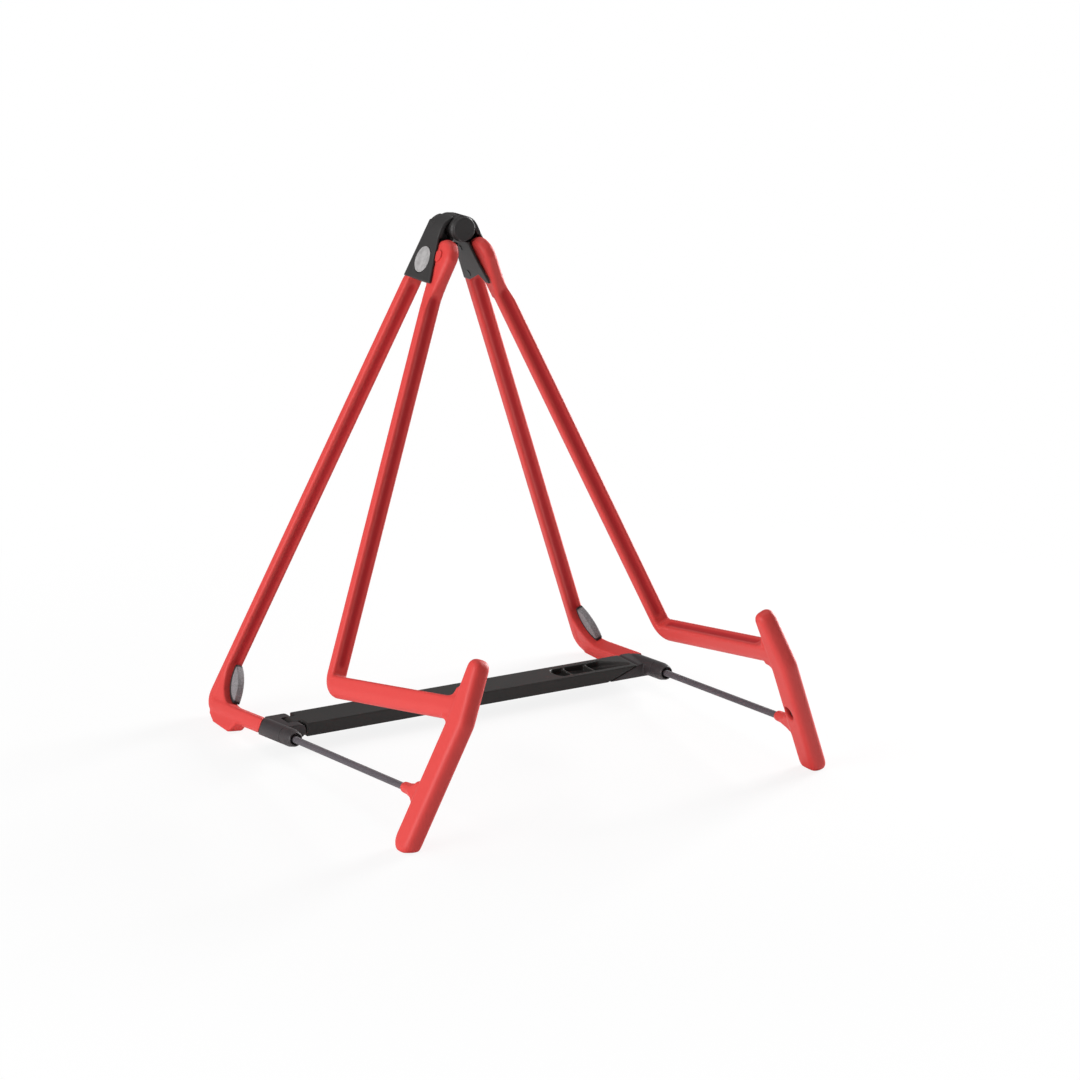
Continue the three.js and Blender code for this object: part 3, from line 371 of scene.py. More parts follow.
@dataclass(frozen=True)
class SpeckledPad(Finish):
    """Rubber with a speckled grey face, near black next to its seat: a dark seam with painted
    shade.
    """

    name: str = "speckled_pad"
    # dark seam with painted shade, next to the pad's seat on the leg
    rubber: Colour = (0.012, 0.011, 0.012)
    light: Colour = (0.27, 0.26, 0.27)
    dark: Colour = (0.10, 0.095, 0.10)
    speckle: Noise = Noise(1900.0, 3.0, 0.75)
    speckle_range: Span = (0.32, 0.62)
    speckle_depth: float = 0.06 * MM
    speckle_roughness: float = 0.2
    roughness: float = 0.65
    face_range: Span = (0.55, 0.95)

    def paint(self, painter: Painter) -> None:
        """Adds the nodes; the mesh's face number is 1 on the grey face and falls to 0 at the seat,
        where the seam and painted shade are dark.

        Args:
            painter: The material's painter.
        """
        speckle = painter.noise(self.speckle)
        grey = painter.blend(self.dark, self.light, speckle.ramp(*self.speckle_range))
        # painted shade: near black next to the seat, with the dark seam there; grey beyond
        face = painter.attribute("face").ramp(*self.face_range)
        painter.principled(
            Base_Color=painter.blend(self.rubber, grey, face),
            Roughness=speckle * self.speckle_roughness + self.roughness,
            Normal=painter.relief(speckle, self.speckle_depth),
        )


@dataclass(frozen=True)
class PlainSteel(Finish):
    """Plain turned steel."""

    name: str = "plain_steel"
    colour: Colour = (0.42, 0.42, 0.43)
    roughness: float = 0.34
    marks: Noise = Noise(2600.0, 2.0)
    marks_depth: float = 0.01 * MM
    marks_roughness: float = 0.2

    def paint(self, painter: Painter) -> None:
        """Adds the nodes.

        Args:
            painter: The material's painter.
        """
        marks = painter.noise(self.marks)
        painter.principled(
            Base_Color=(*self.colour, 1),
            Metallic=1.0,
            Roughness=(marks - NOISE_MIDDLE) * self.marks_roughness + self.roughness,
            Normal=painter.relief(marks, self.marks_depth),
        )


@dataclass(frozen=True)
class PaleDisc(Finish):
    """Bare pale disc, slightly mottled."""

    name: str = "pale_disc"
    light: Colour = (0.40, 0.39, 0.39)
    dark: Colour = (0.28, 0.27, 0.27)
    mottle: Noise = Noise(260.0)
    mottle_range: Span = (0.35, 0.65)
    grain: Noise = Noise(2400.0, 2.0)
    grain_depth: float = 0.02 * MM
    grain_roughness: float = 0.2
    roughness: float = 0.4

    def paint(self, painter: Painter) -> None:
        """Adds the nodes.

        Args:
            painter: The material's painter.
        """
        mottle = painter.noise(self.mottle).ramp(*self.mottle_range)
        grain = painter.noise(self.grain)
        painter.principled(
            Base_Color=painter.blend(self.dark, self.light, mottle),
            Roughness=(grain - NOISE_MIDDLE) * self.grain_roughness + self.roughness,
            Normal=painter.relief(grain, self.grain_depth),
        )


@dataclass(frozen=True)
class BraidedCord(Finish):
    """Braided synthetic cord; the pattern follows the mesh's UV map."""

    name: str = "braided_cord"
    light: Colour = (0.085, 0.070, 0.085)
    dark: Colour = (0.022, 0.018, 0.022)
    strands: int = 8
    turns: int = 150
    fuzz: Noise = Noise(3500.0)
    braid_tint: float = 0.8
    fuzz_tint: float = 0.6
    fuzz_height: float = 0.3
    depth: float = 0.16 * MM
    fuzz_roughness: float = 0.15
    roughness: float = 0.7
    sheen: float = 0.15

    def paint(self, painter: Painter) -> None:
        """Adds the nodes.

        Args:
            painter: The material's painter.
        """
        parts = painter.node("SeparateXYZ", Vector=painter.node("TexCoord")["UV"])
        around = parts["X"] * (self.strands * math.pi)
        along = parts["Y"] * (self.turns * math.pi)
        braid = (around + along).wave().size().larger((around - along).wave().size())
        fuzz = painter.noise(self.fuzz)
        tint = braid * self.braid_tint + (fuzz - NOISE_MIDDLE) * self.fuzz_tint
        painter.principled(
            Base_Color=painter.blend(self.dark, self.light, tint),
            Roughness=fuzz * self.fuzz_roughness + self.roughness,
            Normal=painter.relief(braid + fuzz * self.fuzz_height, self.depth),
            Sheen_Weight=self.sheen,
        )


RED = MouldedPlastic(
    "red_plastic",
    colour=(0.600, 0.046, 0.041),
    worn=(0.650, 0.062, 0.056),
    # painted shade for the channels' hollows
    channel=(0.440, 0.015, 0.018),
    roughness=0.50,
    gloss=0.32,
    coat=0.04,
)
CAP_BLACK = MouldedPlastic(
    "cap_black",
    colour=(0.024, 0.022, 0.022),
    worn=(0.038, 0.036, 0.035),
    channel=(0.024, 0.022, 0.022),
    roughness=0.46,
    grain_depth=0.05 * MM,
)
FITTING_BLACK = MouldedPlastic(
    "fitting_black",
    colour=(0.032, 0.026, 0.028),
    worn=(0.048, 0.041, 0.043),
    channel=(0.032, 0.026, 0.028),
    roughness=0.50,
    grain_depth=0.05 * MM,
)
BAR_BLACK = MouldedPlastic(
    "bar_black",
    colour=(0.016, 0.015, 0.014),
    worn=(0.028, 0.026, 0.025),
    channel=(0.016, 0.015, 0.014),
    roughness=0.52,
    grain_depth=0.05 * MM,
)
STEEL = PlainSteel()
DARK_STEEL = PlainSteel("blackened_steel", (0.05, 0.05, 0.05), 0.4)
PALE_DISC = PaleDisc()
PAD = SpeckledPad()
CORD = BraidedCord()


def curve_points(first: Place, corner: Place, last: Place) -> list[Place]:
    """A smooth curve between two places that bends towards a corner.

    Args:
        first: Where it begins.
        corner: The corner.
        last: Where it ends.

    Returns:
        Places along the curve, both ends included.
    """
    return [
        tuple(
            (1 - t) ** 2 * a + 2 * t * (1 - t) * c + t * t * b
            for a, c, b in zip(first, corner, last)
        )
        for t in (i / CURVE_STEPS for i in range(CURVE_STEPS + 1))
    ]


def eased(share: np.ndarray) -> np.ndarray:
    """Smooth step of a share, which is first cut to 0 to 1."""
    share = np.clip(share, 0, 1)
    return share * share * (3 - 2 * share)


@dataclass(frozen=True)
class Line:
    """A leg's middle line in its side's own plane."""

    top: Place
    lean: float  # from straight down, positive towards the rear

    @property
    def down(self) -> Place:
        """Direction down the leg."""
        return (math.sin(self.lean), -math.cos(self.lean))

    @property
    def up(self) -> Place:
        """Direction up the leg."""
        return (-self.down[0], -self.down[1])

    @property
    def ahead(self) -> Place:
        """Direction square to the leg, towards the front."""
        return (-math.cos(self.lean), -math.sin(self.lean))

    def beside(self, place: Place, front: float, below: float) -> Place:
        """A place ahead of another, square to the leg, and down the leg from it.

        Args:
            place: The other place.
            front: How far ahead.
            below: How far down.

        Returns:
            The place.
        """
        return (
            place[0] + self.ahead[0] * front + self.down[0] * below,
            place[1] + self.ahead[1] * front + self.down[1] * below,
        )

    def at(self, below: float, front: float = 0.0) -> Place:
        """The place this far down the line and this far ahead of it."""
        return self.beside(self.top, front, below)

    def below(self, place: Place) -> float:
        """How far down the line a place lies."""
        across, rise = place[0] - self.top[0], place[1] - self.top[1]
        return across * self.down[0] + rise * self.down[1]


class SidePoints:
    """A mesh's points as seen in one side's own plane."""

    def __init__(self, mesh: bpy.types.Mesh, side: Side) -> None:
        """Reads the points.

        Args:
            mesh: The mesh, in the stand's frame.
            side: The side that it lies in.
        """
        self.mesh = mesh
        self.side = side
        flat = np.empty(len(mesh.vertices) * 3)
        mesh.vertices.foreach_get("co", flat)
        self.co = flat.reshape(-1, 3)
        x, z = side.value * self.co[:, 0], self.co[:, 2] - APEX_HEIGHT
        self.along_y = self.co[:, 1] - SHIFT
        self.up = z * math.cos(SPLAY) - x * math.sin(SPLAY)
        self.out = x * math.cos(SPLAY) + z * math.sin(SPLAY)

    def run(self, start: Place, along: Place) -> np.ndarray:
        """How far each point lies from a place along a direction of the plane."""
        return (self.along_y - start[0]) * along[0] + (self.up - start[1]) * along[1]

    def away(self, start: Place, along: Place, run: np.ndarray) -> np.ndarray:
        """How far each point lies in the plane from its own place on a line.

        Args:
            start: Where the line starts.
            along: The line's direction.
            run: How far along the line each point's place is.

        Returns:
            The distances.
        """
        return np.hypot(
            self.along_y - start[0] - run * along[0], self.up - start[1] - run * along[1]
        )

    def move(self, distance: np.ndarray, along: Place = (0.0, 0.0), out: float = 0.0) -> None:
        """Moves each point of the mesh by its own distance.

        Args:
            distance: The distances.
            along: The direction's part in the plane.
            out: Its part square to the plane.
        """
        across = out * math.cos(SPLAY) - along[1] * math.sin(SPLAY)
        rise = out * math.sin(SPLAY) + along[1] * math.cos(SPLAY)
        way = np.array((self.side.value * across, along[0], rise))
        self.co += np.outer(distance, way)
        self.mesh.vertices.foreach_set("co", self.co.ravel())
        self.mesh.update()


@dataclass(frozen=True)
class Channel:
    """The shallow channel along a bar's flat face."""

    start: Place
    along: Place
    out: Place
    begin: float
    end: float
    face: float = 4.2 * MM
    half_width: float = 3.1 * MM
    depth: float = 0.6 * MM
    run_out: float = 5 * MM
    skin: Span = (1 / 2, 5 / 6)  # shares of the face's height where the press sets in
    above: float = 1.3  # share of the face's height past which nothing moves
    wall: float = 1.5  # power that shapes the channel's section

    def press(self, points: SidePoints) -> None:
        """Moves the points into the channel and marks how deep they lie.

        Args:
            points: The piece's points.
        """
        run, height = points.run(self.start, self.along), points.run(self.start, self.out)
        begins = np.clip((run - self.begin) / self.run_out, 0, 1)
        ends = np.clip((self.end - run) / self.run_out, 0, 1)
        across = np.clip(1 - (points.out / self.half_width) ** 2, 0, 1) ** self.wall
        level = height / self.face
        near = np.clip((level - self.skin[0]) / (self.skin[1] - self.skin[0]), 0, 1)
        share = eased(begins * ends) * across * near * (level < self.above)
        points.move(-self.depth * share, self.out)
        self.mark(points.mesh, share)

    def mark(self, mesh: bpy.types.Mesh, share: np.ndarray) -> None:
        """Keeps the depth as the mesh's channel number, beside any other channel's.

        Args:
            mesh: The piece's mesh.
            share: How deep each point lies, from 0 to 1.
        """
        # the red plastic paints shade into the channel by this number
        kept = mesh.attributes.get("channel") or mesh.attributes.new("channel", "FLOAT", "POINT")
        before = np.zeros(len(share), np.float32)
        kept.data.foreach_get("value", before)
        kept.data.foreach_set("value", np.maximum(before, share.astype(np.float32)))


@dataclass(frozen=True)
class ArmTop:
    """The run of an arm's top face up to its horn, kept free of a step."""

    start: Place
    along: Place
    up: Place
    length: float
    level: float = 5.6 * MM
    highest: float = 16.8 * MM
    rise: float = 7 * MM
    reach: float = 12 * MM
    horn: float = 1.6 * MM

    def press(self, points: SidePoints) -> None:
        """Moves points above the run down to it.

        Args:
            points: The piece's points.
        """
        run, height = points.run(self.start, self.along), points.run(self.start, self.up)
        share = np.clip((run - self.length + self.reach) / (self.reach - self.horn), 0, 1)
        limit = self.level + self.rise * share**3
        on_arm = (run > self.length / 2) & (run < self.length - self.horn)
        near = on_arm & (height < self.highest)
        points.move(np.where(near, np.minimum(limit - height, 0), 0), self.up)


@dataclass(frozen=True)
class Head:
    """The rounding of a front leg's pivot head and of its run into the bar."""

    pivot: Place
    neck: Place
    down: Place
    radius: float = 9.7 * MM
    neck_radius: float = 5.4 * MM
    rounding: float = 0.42
    flat: float = 0.66  # share of the radius that stays flat
    beyond: float = 1.2  # share of the radius past which nothing moves
    fade: Span = (0.65, 1.15)  # shares of the way to the neck where the rounding ends
    middle: float = -0.6 * MM
    outer: float = 2.9 * MM
    bar_outer: float = 4.5 * MM
    slope: float = 14 * MM
    slope_from: float = -2 * MM

    def press(self, points: SidePoints) -> None:
        """Rounds the head's rim and slopes the bar's outer face towards the head."""
        points.move(self.round_off(points) + self.slope_down(points), out=1.0)

    def round_off(self, points: SidePoints) -> np.ndarray:
        """How far the rim's rounding moves each point outwards.

        Args:
            points: The leg's points.

        Returns:
            The distances.
        """
        span = math.dist(self.pivot, self.neck)
        along = tuple((b - a) / span for a, b in zip(self.pivot, self.neck))
        run = points.run(self.pivot, along)
        share = np.clip(run / span, 0, 1)
        away = points.away(self.pivot, along, share * span)
        radius = self.radius + (self.neck_radius - self.radius) * share
        edge = np.clip((away / radius - self.flat) / (1 - self.flat), 0, 1)
        keep = np.clip((self.fade[1] - run / span) / (self.fade[1] - self.fade[0]), 0, 1)
        near = away < radius * self.beyond
        return -(points.out - self.middle) * self.rounding * edge * edge * keep * near

    def slope_down(self, points: SidePoints) -> np.ndarray:
        """How far the bar's sloped outer face moves each point outwards.

        Args:
            points: The leg's points.

        Returns:
            The distances.
        """
        past = points.run(self.neck, self.down)
        limit = self.outer + (self.bar_outer - self.outer) * eased(past / self.slope)
        near = (past < self.slope) & (past > self.slope_from)
        return np.where(near, np.minimum(limit - points.out, 0), 0)


@dataclass(frozen=True)
class Prism:
    """An outline in a side's own plane, thickened across it."""

    outline: tuple[Place, ...]
    inner: float
    outer: float

    @staticmethod
    def round(middle: Place, radius: float, inner: float, outer: float) -> "Prism":
        """A round one.

        Args:
            middle: Its middle in the side's plane.
            radius: Its radius.
            inner: Level of its inner face, from the side's plane.
            outer: Level of its outer face.

        Returns:
            The prism.
        """
        corners = 48
        turns = [math.tau * i / corners for i in range(corners)]
        outline = tuple(
            (middle[0] + radius * math.cos(t), middle[1] + radius * math.sin(t)) for t in turns
        )
        return Prism(outline, inner, outer)

    def add(self, shape: bmesh.types.BMesh, side: Side) -> None:
        """Adds its closed shell to a mesh in the stand's frame.

        Args:
            shape: The mesh.
            side: The side that it lies in.
        """
        places = [side.into_stand(ahead, up, self.inner) for ahead, up in self.outline]
        verts = [bmesh.ops.create_vert(shape, co=place)["vert"][0] for place in places]
        base = bmesh.ops.contextual_create(shape, geom=verts)["faces"]
        made = bmesh.ops.extrude_face_region(shape, geom=base, use_keep_orig=True)["geom"]
        moved = [item for item in made if isinstance(item, bmesh.types.BMVert)]
        bmesh.ops.translate(shape, vec=side.outward * (self.outer - self.inner), verts=moved)
        faces = list(dict.fromkeys(face for vert in verts + moved for face in vert.link_faces))
        bmesh.ops.recalc_face_normals(shape, faces=faces)


@dataclass(frozen=True)
class Moulding:
    """A moulded piece with softened edges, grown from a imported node."""

    node: str
    finish: Finish
    slot: Slot
    body: str
    voxel: float
    passes: int = 3
    strength: float = 0.5  # of each softening pass
    side: Side | None = None  # that its fills and presses lie in
    fills: tuple[Prism, ...] = ()
    presses: tuple[Channel | ArmTop | Head, ...] = ()

    def build(self) -> bpy.types.Object:
        """Builds, dresses and mounts the piece.

        Returns:
            The finished piece, which stands for its node.
        """
        mesh = self.soft_mesh()
        for press in self.presses:
            press.press(SidePoints(mesh, self.side))
        piece = bpy.data.objects.new(f"{self.node}_moulding", mesh)
        bpy.context.scene.collection.objects.link(piece)
        self.finish.dress(piece)
        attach(piece, self.body)
        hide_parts(self.node)
        log.info("%s: %d faces", piece.name, len(mesh.polygons))
        return piece

    def soft_mesh(self) -> bpy.types.Mesh:
        """The node's shape and its fills under one evenly softened skin.

        Returns:
            A closed mesh in the stand's frame.
        """
        shape = bmesh.new()
        shape.from_mesh(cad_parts[self.node].data)
        bmesh.ops.remove_doubles(shape, verts=shape.verts, dist=MERGE)
        for fill in self.fills:
            fill.add(shape, self.side)
        rough = bpy.data.meshes.new(f"{self.node}_rough")
        shape.to_mesh(rough)
        shape.free()
        holder = bpy.data.objects.new(f"{self.node}_rough", rough)
        bpy.context.scene.collection.objects.link(holder)
        remesh = holder.modifiers.new("skin", "REMESH")
        remesh.mode = "VOXEL"
        remesh.voxel_size = self.voxel
        soften = holder.modifiers.new("soften", "SMOOTH")
        soften.factor = self.strength
        soften.iterations = self.passes
        graph = bpy.context.evaluated_depsgraph_get()
        mesh = bpy.data.meshes.new_from_object(holder.evaluated_get(graph))
        bpy.data.objects.remove(holder)
        bpy.data.meshes.remove(rough)
        mesh.name = f"{self.node}_moulding"
        mesh.polygons.foreach_set("use_smooth", [True] * len(mesh.polygons))
        return mesh


@dataclass(frozen=True)
class RearLeg:
    """One side's rear leg."""

    side: Side
    voxel: float = 0.55 * MM
    passes: int = 12
    line: Line = Line((0.0, 0.0), math.radians(11.25))
    channel: Span = (46 * MM, 280 * MM)  # down the line, from below the cap to the knee
    root: Span = (43.5 * MM, 52 * MM)  # down the line, where it runs on into the cap
    root_parts: tuple[tuple[float, float, float], ...] = (
        (4.0 * MM, -0.3 * MM, 4.3 * MM),
        (0.0 * MM, -3.0 * MM, 3.2 * MM),
    )  # front, back and half of the width of each

    def build(self) -> None:
        """Builds the leg with its channel."""
        channel = Channel(self.line.top, self.line.down, self.line.ahead, *self.channel)
        Moulding(
            f"rear_leg_{self.side.word}", RED, Slot.LEG, self.side.body, self.voxel, self.passes,
            side=self.side, fills=self.root_fills(), presses=(channel,),
        ).build()

    def root_fills(self) -> tuple[Prism, ...]:
        """Carries the leg's full section on into the cap.

        Returns:
            The prisms.
        """
        begin, end = self.root
        return tuple(
            Prism(
                tuple(
                    self.line.at(below, ahead)
                    for below, ahead in ((begin, front), (end, front), (end, back), (begin, back))
                ),
                -half,
                half,
            )
            for front, back, half in self.root_parts
        )


@dataclass(frozen=True)
class FrontLeg:
    """One side's front leg with its head, arm and horn."""

    side: Side
    voxel: float = 0.55 * MM
    passes: int = 12
    line: Line = Line((-6.8 * MM, 0.0), -math.radians(10.85))
    length: float = 259.1 * MM  # down the line to the knee's corner
    arm: float = 122 * MM
    half_depth: float = 4.2 * MM
    arm_half_depth: float = 5.6 * MM
    pivot: Place = (-15.5 * MM, -30.5 * MM)
    head_radius: float = 9.3 * MM
    head_levels: Span = (-4.1 * MM, 2.9 * MM)
    seat_radius: float = 9.0 * MM
    seat_face: float = 3.05 * MM
    shoulder: Span = (0.93, 0.38)  # shares of the head's radius, ahead of and below its middle
    taper: float = 23 * MM
    taper_back: float = 0.6  # share of the bar's half depth
    neck: float = 19.5 * MM
    channel_from: float = 50 * MM
    knee_margin: float = 3.2 * MM
    horn_margin: float = 10 * MM
    fillet_above: tuple[Place, ...] = (
        (-10.0 * MM, -4.9 * MM), (-1.2 * MM, -5.6 * MM), (1.4 * MM, -13.5 * MM),
    )  # ahead of and below the arm's end: on the arm, at the corner, on the horn
    fillet_below: tuple[Place, ...] = (
        (-9.5 * MM, 4.9 * MM), (-3.4 * MM, 5.6 * MM), (-3.4 * MM, 11.5 * MM),
    )
    fillet_half_width: float = 3.4 * MM
    fillet_inside_horn: float = 6 * MM

    @property
    def knee(self) -> Place:
        """The knee's corner."""
        return self.line.at(self.length)

    def build(self) -> None:
        """Builds the leg with its fills, its rounded head and its channels."""
        neck = self.line.at(self.line.below(self.pivot) + self.neck)
        head = Head(self.pivot, neck, self.line.down)
        arm_top = ArmTop(self.knee, self.line.ahead, self.line.up, self.arm)
        Moulding(
            f"front_leg_{self.side.word}", RED, Slot.LEG, self.side.front_body, self.voxel,
            self.passes, side=self.side,
            fills=(self.seat_fill(), self.taper_fill(), *self.fillets()),
            presses=(head, arm_top, *self.channels()),
        ).build()

    def seat_fill(self) -> Prism:
        """What closes the washer's seat in the head."""
        return Prism.round(self.pivot, self.seat_radius, 0.0, self.seat_face)

    def taper_fill(self) -> Prism:
        """Tapers the head into the bar.

        Returns:
            The taper.
        """
        line, radius = self.line, self.head_radius
        end = line.below(self.pivot) + self.taper
        outline = (
            self.pivot,
            line.beside(self.pivot, radius, 0.0),
            line.beside(self.pivot, *(radius * share for share in self.shoulder)),
            line.at(end, self.half_depth),
            line.at(end, -self.half_depth * self.taper_back),
        )
        return Prism(outline, *self.head_levels)

    def fillets(self) -> list[Prism]:
        """Fills the corners above and below the arm where it meets the horn.

        Returns:
            The two fillets.
        """
        end = self.line.beside(self.knee, self.arm, 0.0)
        prisms = []
        for fillet in (self.fillet_above, self.fillet_below):
            on_arm, corner, on_horn = (self.line.beside(end, *place) for place in fillet)
            inside = self.line.beside(on_horn, self.fillet_inside_horn, 0.0)
            root = self.line.beside(end, fillet[0][0], 0.0)
            outline = (root, *curve_points(on_arm, corner, on_horn), inside, end)
            prisms.append(Prism(outline, -self.fillet_half_width, self.fillet_half_width))
        return prisms

    def channels(self) -> list[Channel]:
        """Lays out the channels.

        Returns:
            The one down the front of the leg, and the one along the top of its arm.
        """
        line, margin = self.line, self.knee_margin + self.half_depth
        leg_end, arm_end = self.length - margin, self.arm - self.horn_margin
        return [
            Channel(line.top, line.down, line.ahead, self.channel_from, leg_end),
            Channel(self.knee, line.ahead, line.up, margin, arm_end, self.arm_half_depth),
        ]


@dataclass(frozen=True)
class ApexCap:
    """One side's cap with its cover, screws, pivot and disc."""

    side: Side
    voxel: float = 0.32 * MM
    passes: int = 9
    cover_voxel: float = 0.25 * MM
    disc_voxel: float = 0.16 * MM
    screws: tuple[Place, ...] = ((-2.6 * MM, -26 * MM), (-0.6 * MM, -41.5 * MM))
    screw_radius: float = 2.4 * MM
    screw_levels: Span = (-6.0 * MM, -4.8 * MM)
    gusset: tuple[Place, ...] = (
        (-7.9 * MM, -17 * MM), (-3.0 * MM, -17 * MM),
        (-3.0 * MM, -21.4 * MM), (-7.9 * MM, -21.4 * MM),
    )
    gusset_levels: Span = (-6.2 * MM, -3.8 * MM)

    def build(self) -> None:
        """Builds the mouldings and dresses the small parts that stay as packed."""
        side, word, body = self.side, self.side.word, self.side.body
        gussets = (Prism(self.gusset, *self.gusset_levels),) if side is Side.LEFT else ()
        Moulding(
            f"apex_cap_{word}", CAP_BLACK, Slot.CAP, body, self.voxel, self.passes,
            side=side, fills=gussets,
        ).build()
        lids = tuple(
            Prism.round(place, self.screw_radius, *self.screw_levels) for place in self.screws
        )
        Moulding(
            f"cap_cover_{word}", CAP_BLACK, Slot.CAP, body, self.cover_voxel, side=side, fills=lids
        ).build()
        Moulding(f"badge_disc_{word}", PALE_DISC, Slot.BADGE, body, self.disc_voxel).build()
        for name in ("cover_screw_upper", "cover_screw_lower"):
            DARK_STEEL.dress(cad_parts[f"{name}_{word}"])
        for name in ("front_pivot_pin", "pivot_washer"):
            RED.dress(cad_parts[f"{name}_{word}"])


@dataclass(frozen=True)
class RearCorner:
    """The pad in one rear knee's inner corner."""

    side: Side
    voxel: float = 0.25 * MM
    # the dark rim is a dark seam with painted shade along the seat
    rim: float = 2.2 * MM  # width of the dark rim round the grey face
    inward: Place = (-0.6631, 0.7485)  # direction that the grey face looks in
    seat_turn: float = -0.5  # a point whose normal has less than this of it is on the seat

    def build(self) -> None:
        """Builds the pad and marks its grey face."""
        node = f"corner_pad_{self.side.word}"
        piece = Moulding(node, PAD, Slot.PAD, self.side.body, self.voxel).build()
        self.mark_face(piece.data)

    def mark_face(self, mesh: bpy.types.Mesh) -> None:
        """Keeps each point's distance from the dark seat as the mesh's face number.

        Args:
            mesh: The pad's mesh.
        """
        middle = self.side.into_stand(0, 0)
        ahead = self.side.into_stand(*self.inward) - middle
        seat = [v.co for v in mesh.vertices if v.normal.dot(ahead) < self.seat_turn]
        tree = KDTree(len(seat))
        for i, place in enumerate(seat):
            tree.insert(place, i)
        tree.balance()
        # the pad's material lays the dark seam and painted shade where this number is low
        values = [min(tree.find(v.co)[2] / self.rim, 1.0) for v in mesh.vertices]
        mesh.attributes.new("face", "FLOAT", "POINT").data.foreach_set("value", values)


@dataclass(frozen=True)
class FootFittings:
    """The sleeve and the cord anchor at the front of one foot bar."""

    side: Side
    voxel: float = 0.32 * MM

    def build(self) -> None:
        """Builds the sleeve and the anchor."""
        for name in ("foot_sleeve", "cord_anchor"):
            node = f"{name}_{self.side.word}"
            Moulding(node, FITTING_BLACK, Slot.FITTING, self.side.body, self.voxel).build()


@dataclass(frozen=True)
class CrossBar:
    """The bar between the two foot sleeves, and the stand's two hinge pins."""

    voxel: float = 0.45 * MM

    def build(self) -> None:
        """Builds the bar and dresses the pins."""
        Moulding("cross_bar", BAR_BLACK, Slot.BAR, "cross_bar", self.voxel).build()
        for node in ("bar_hinge_pin", "apex_hinge_pin"):
            STEEL.dress(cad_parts[node])


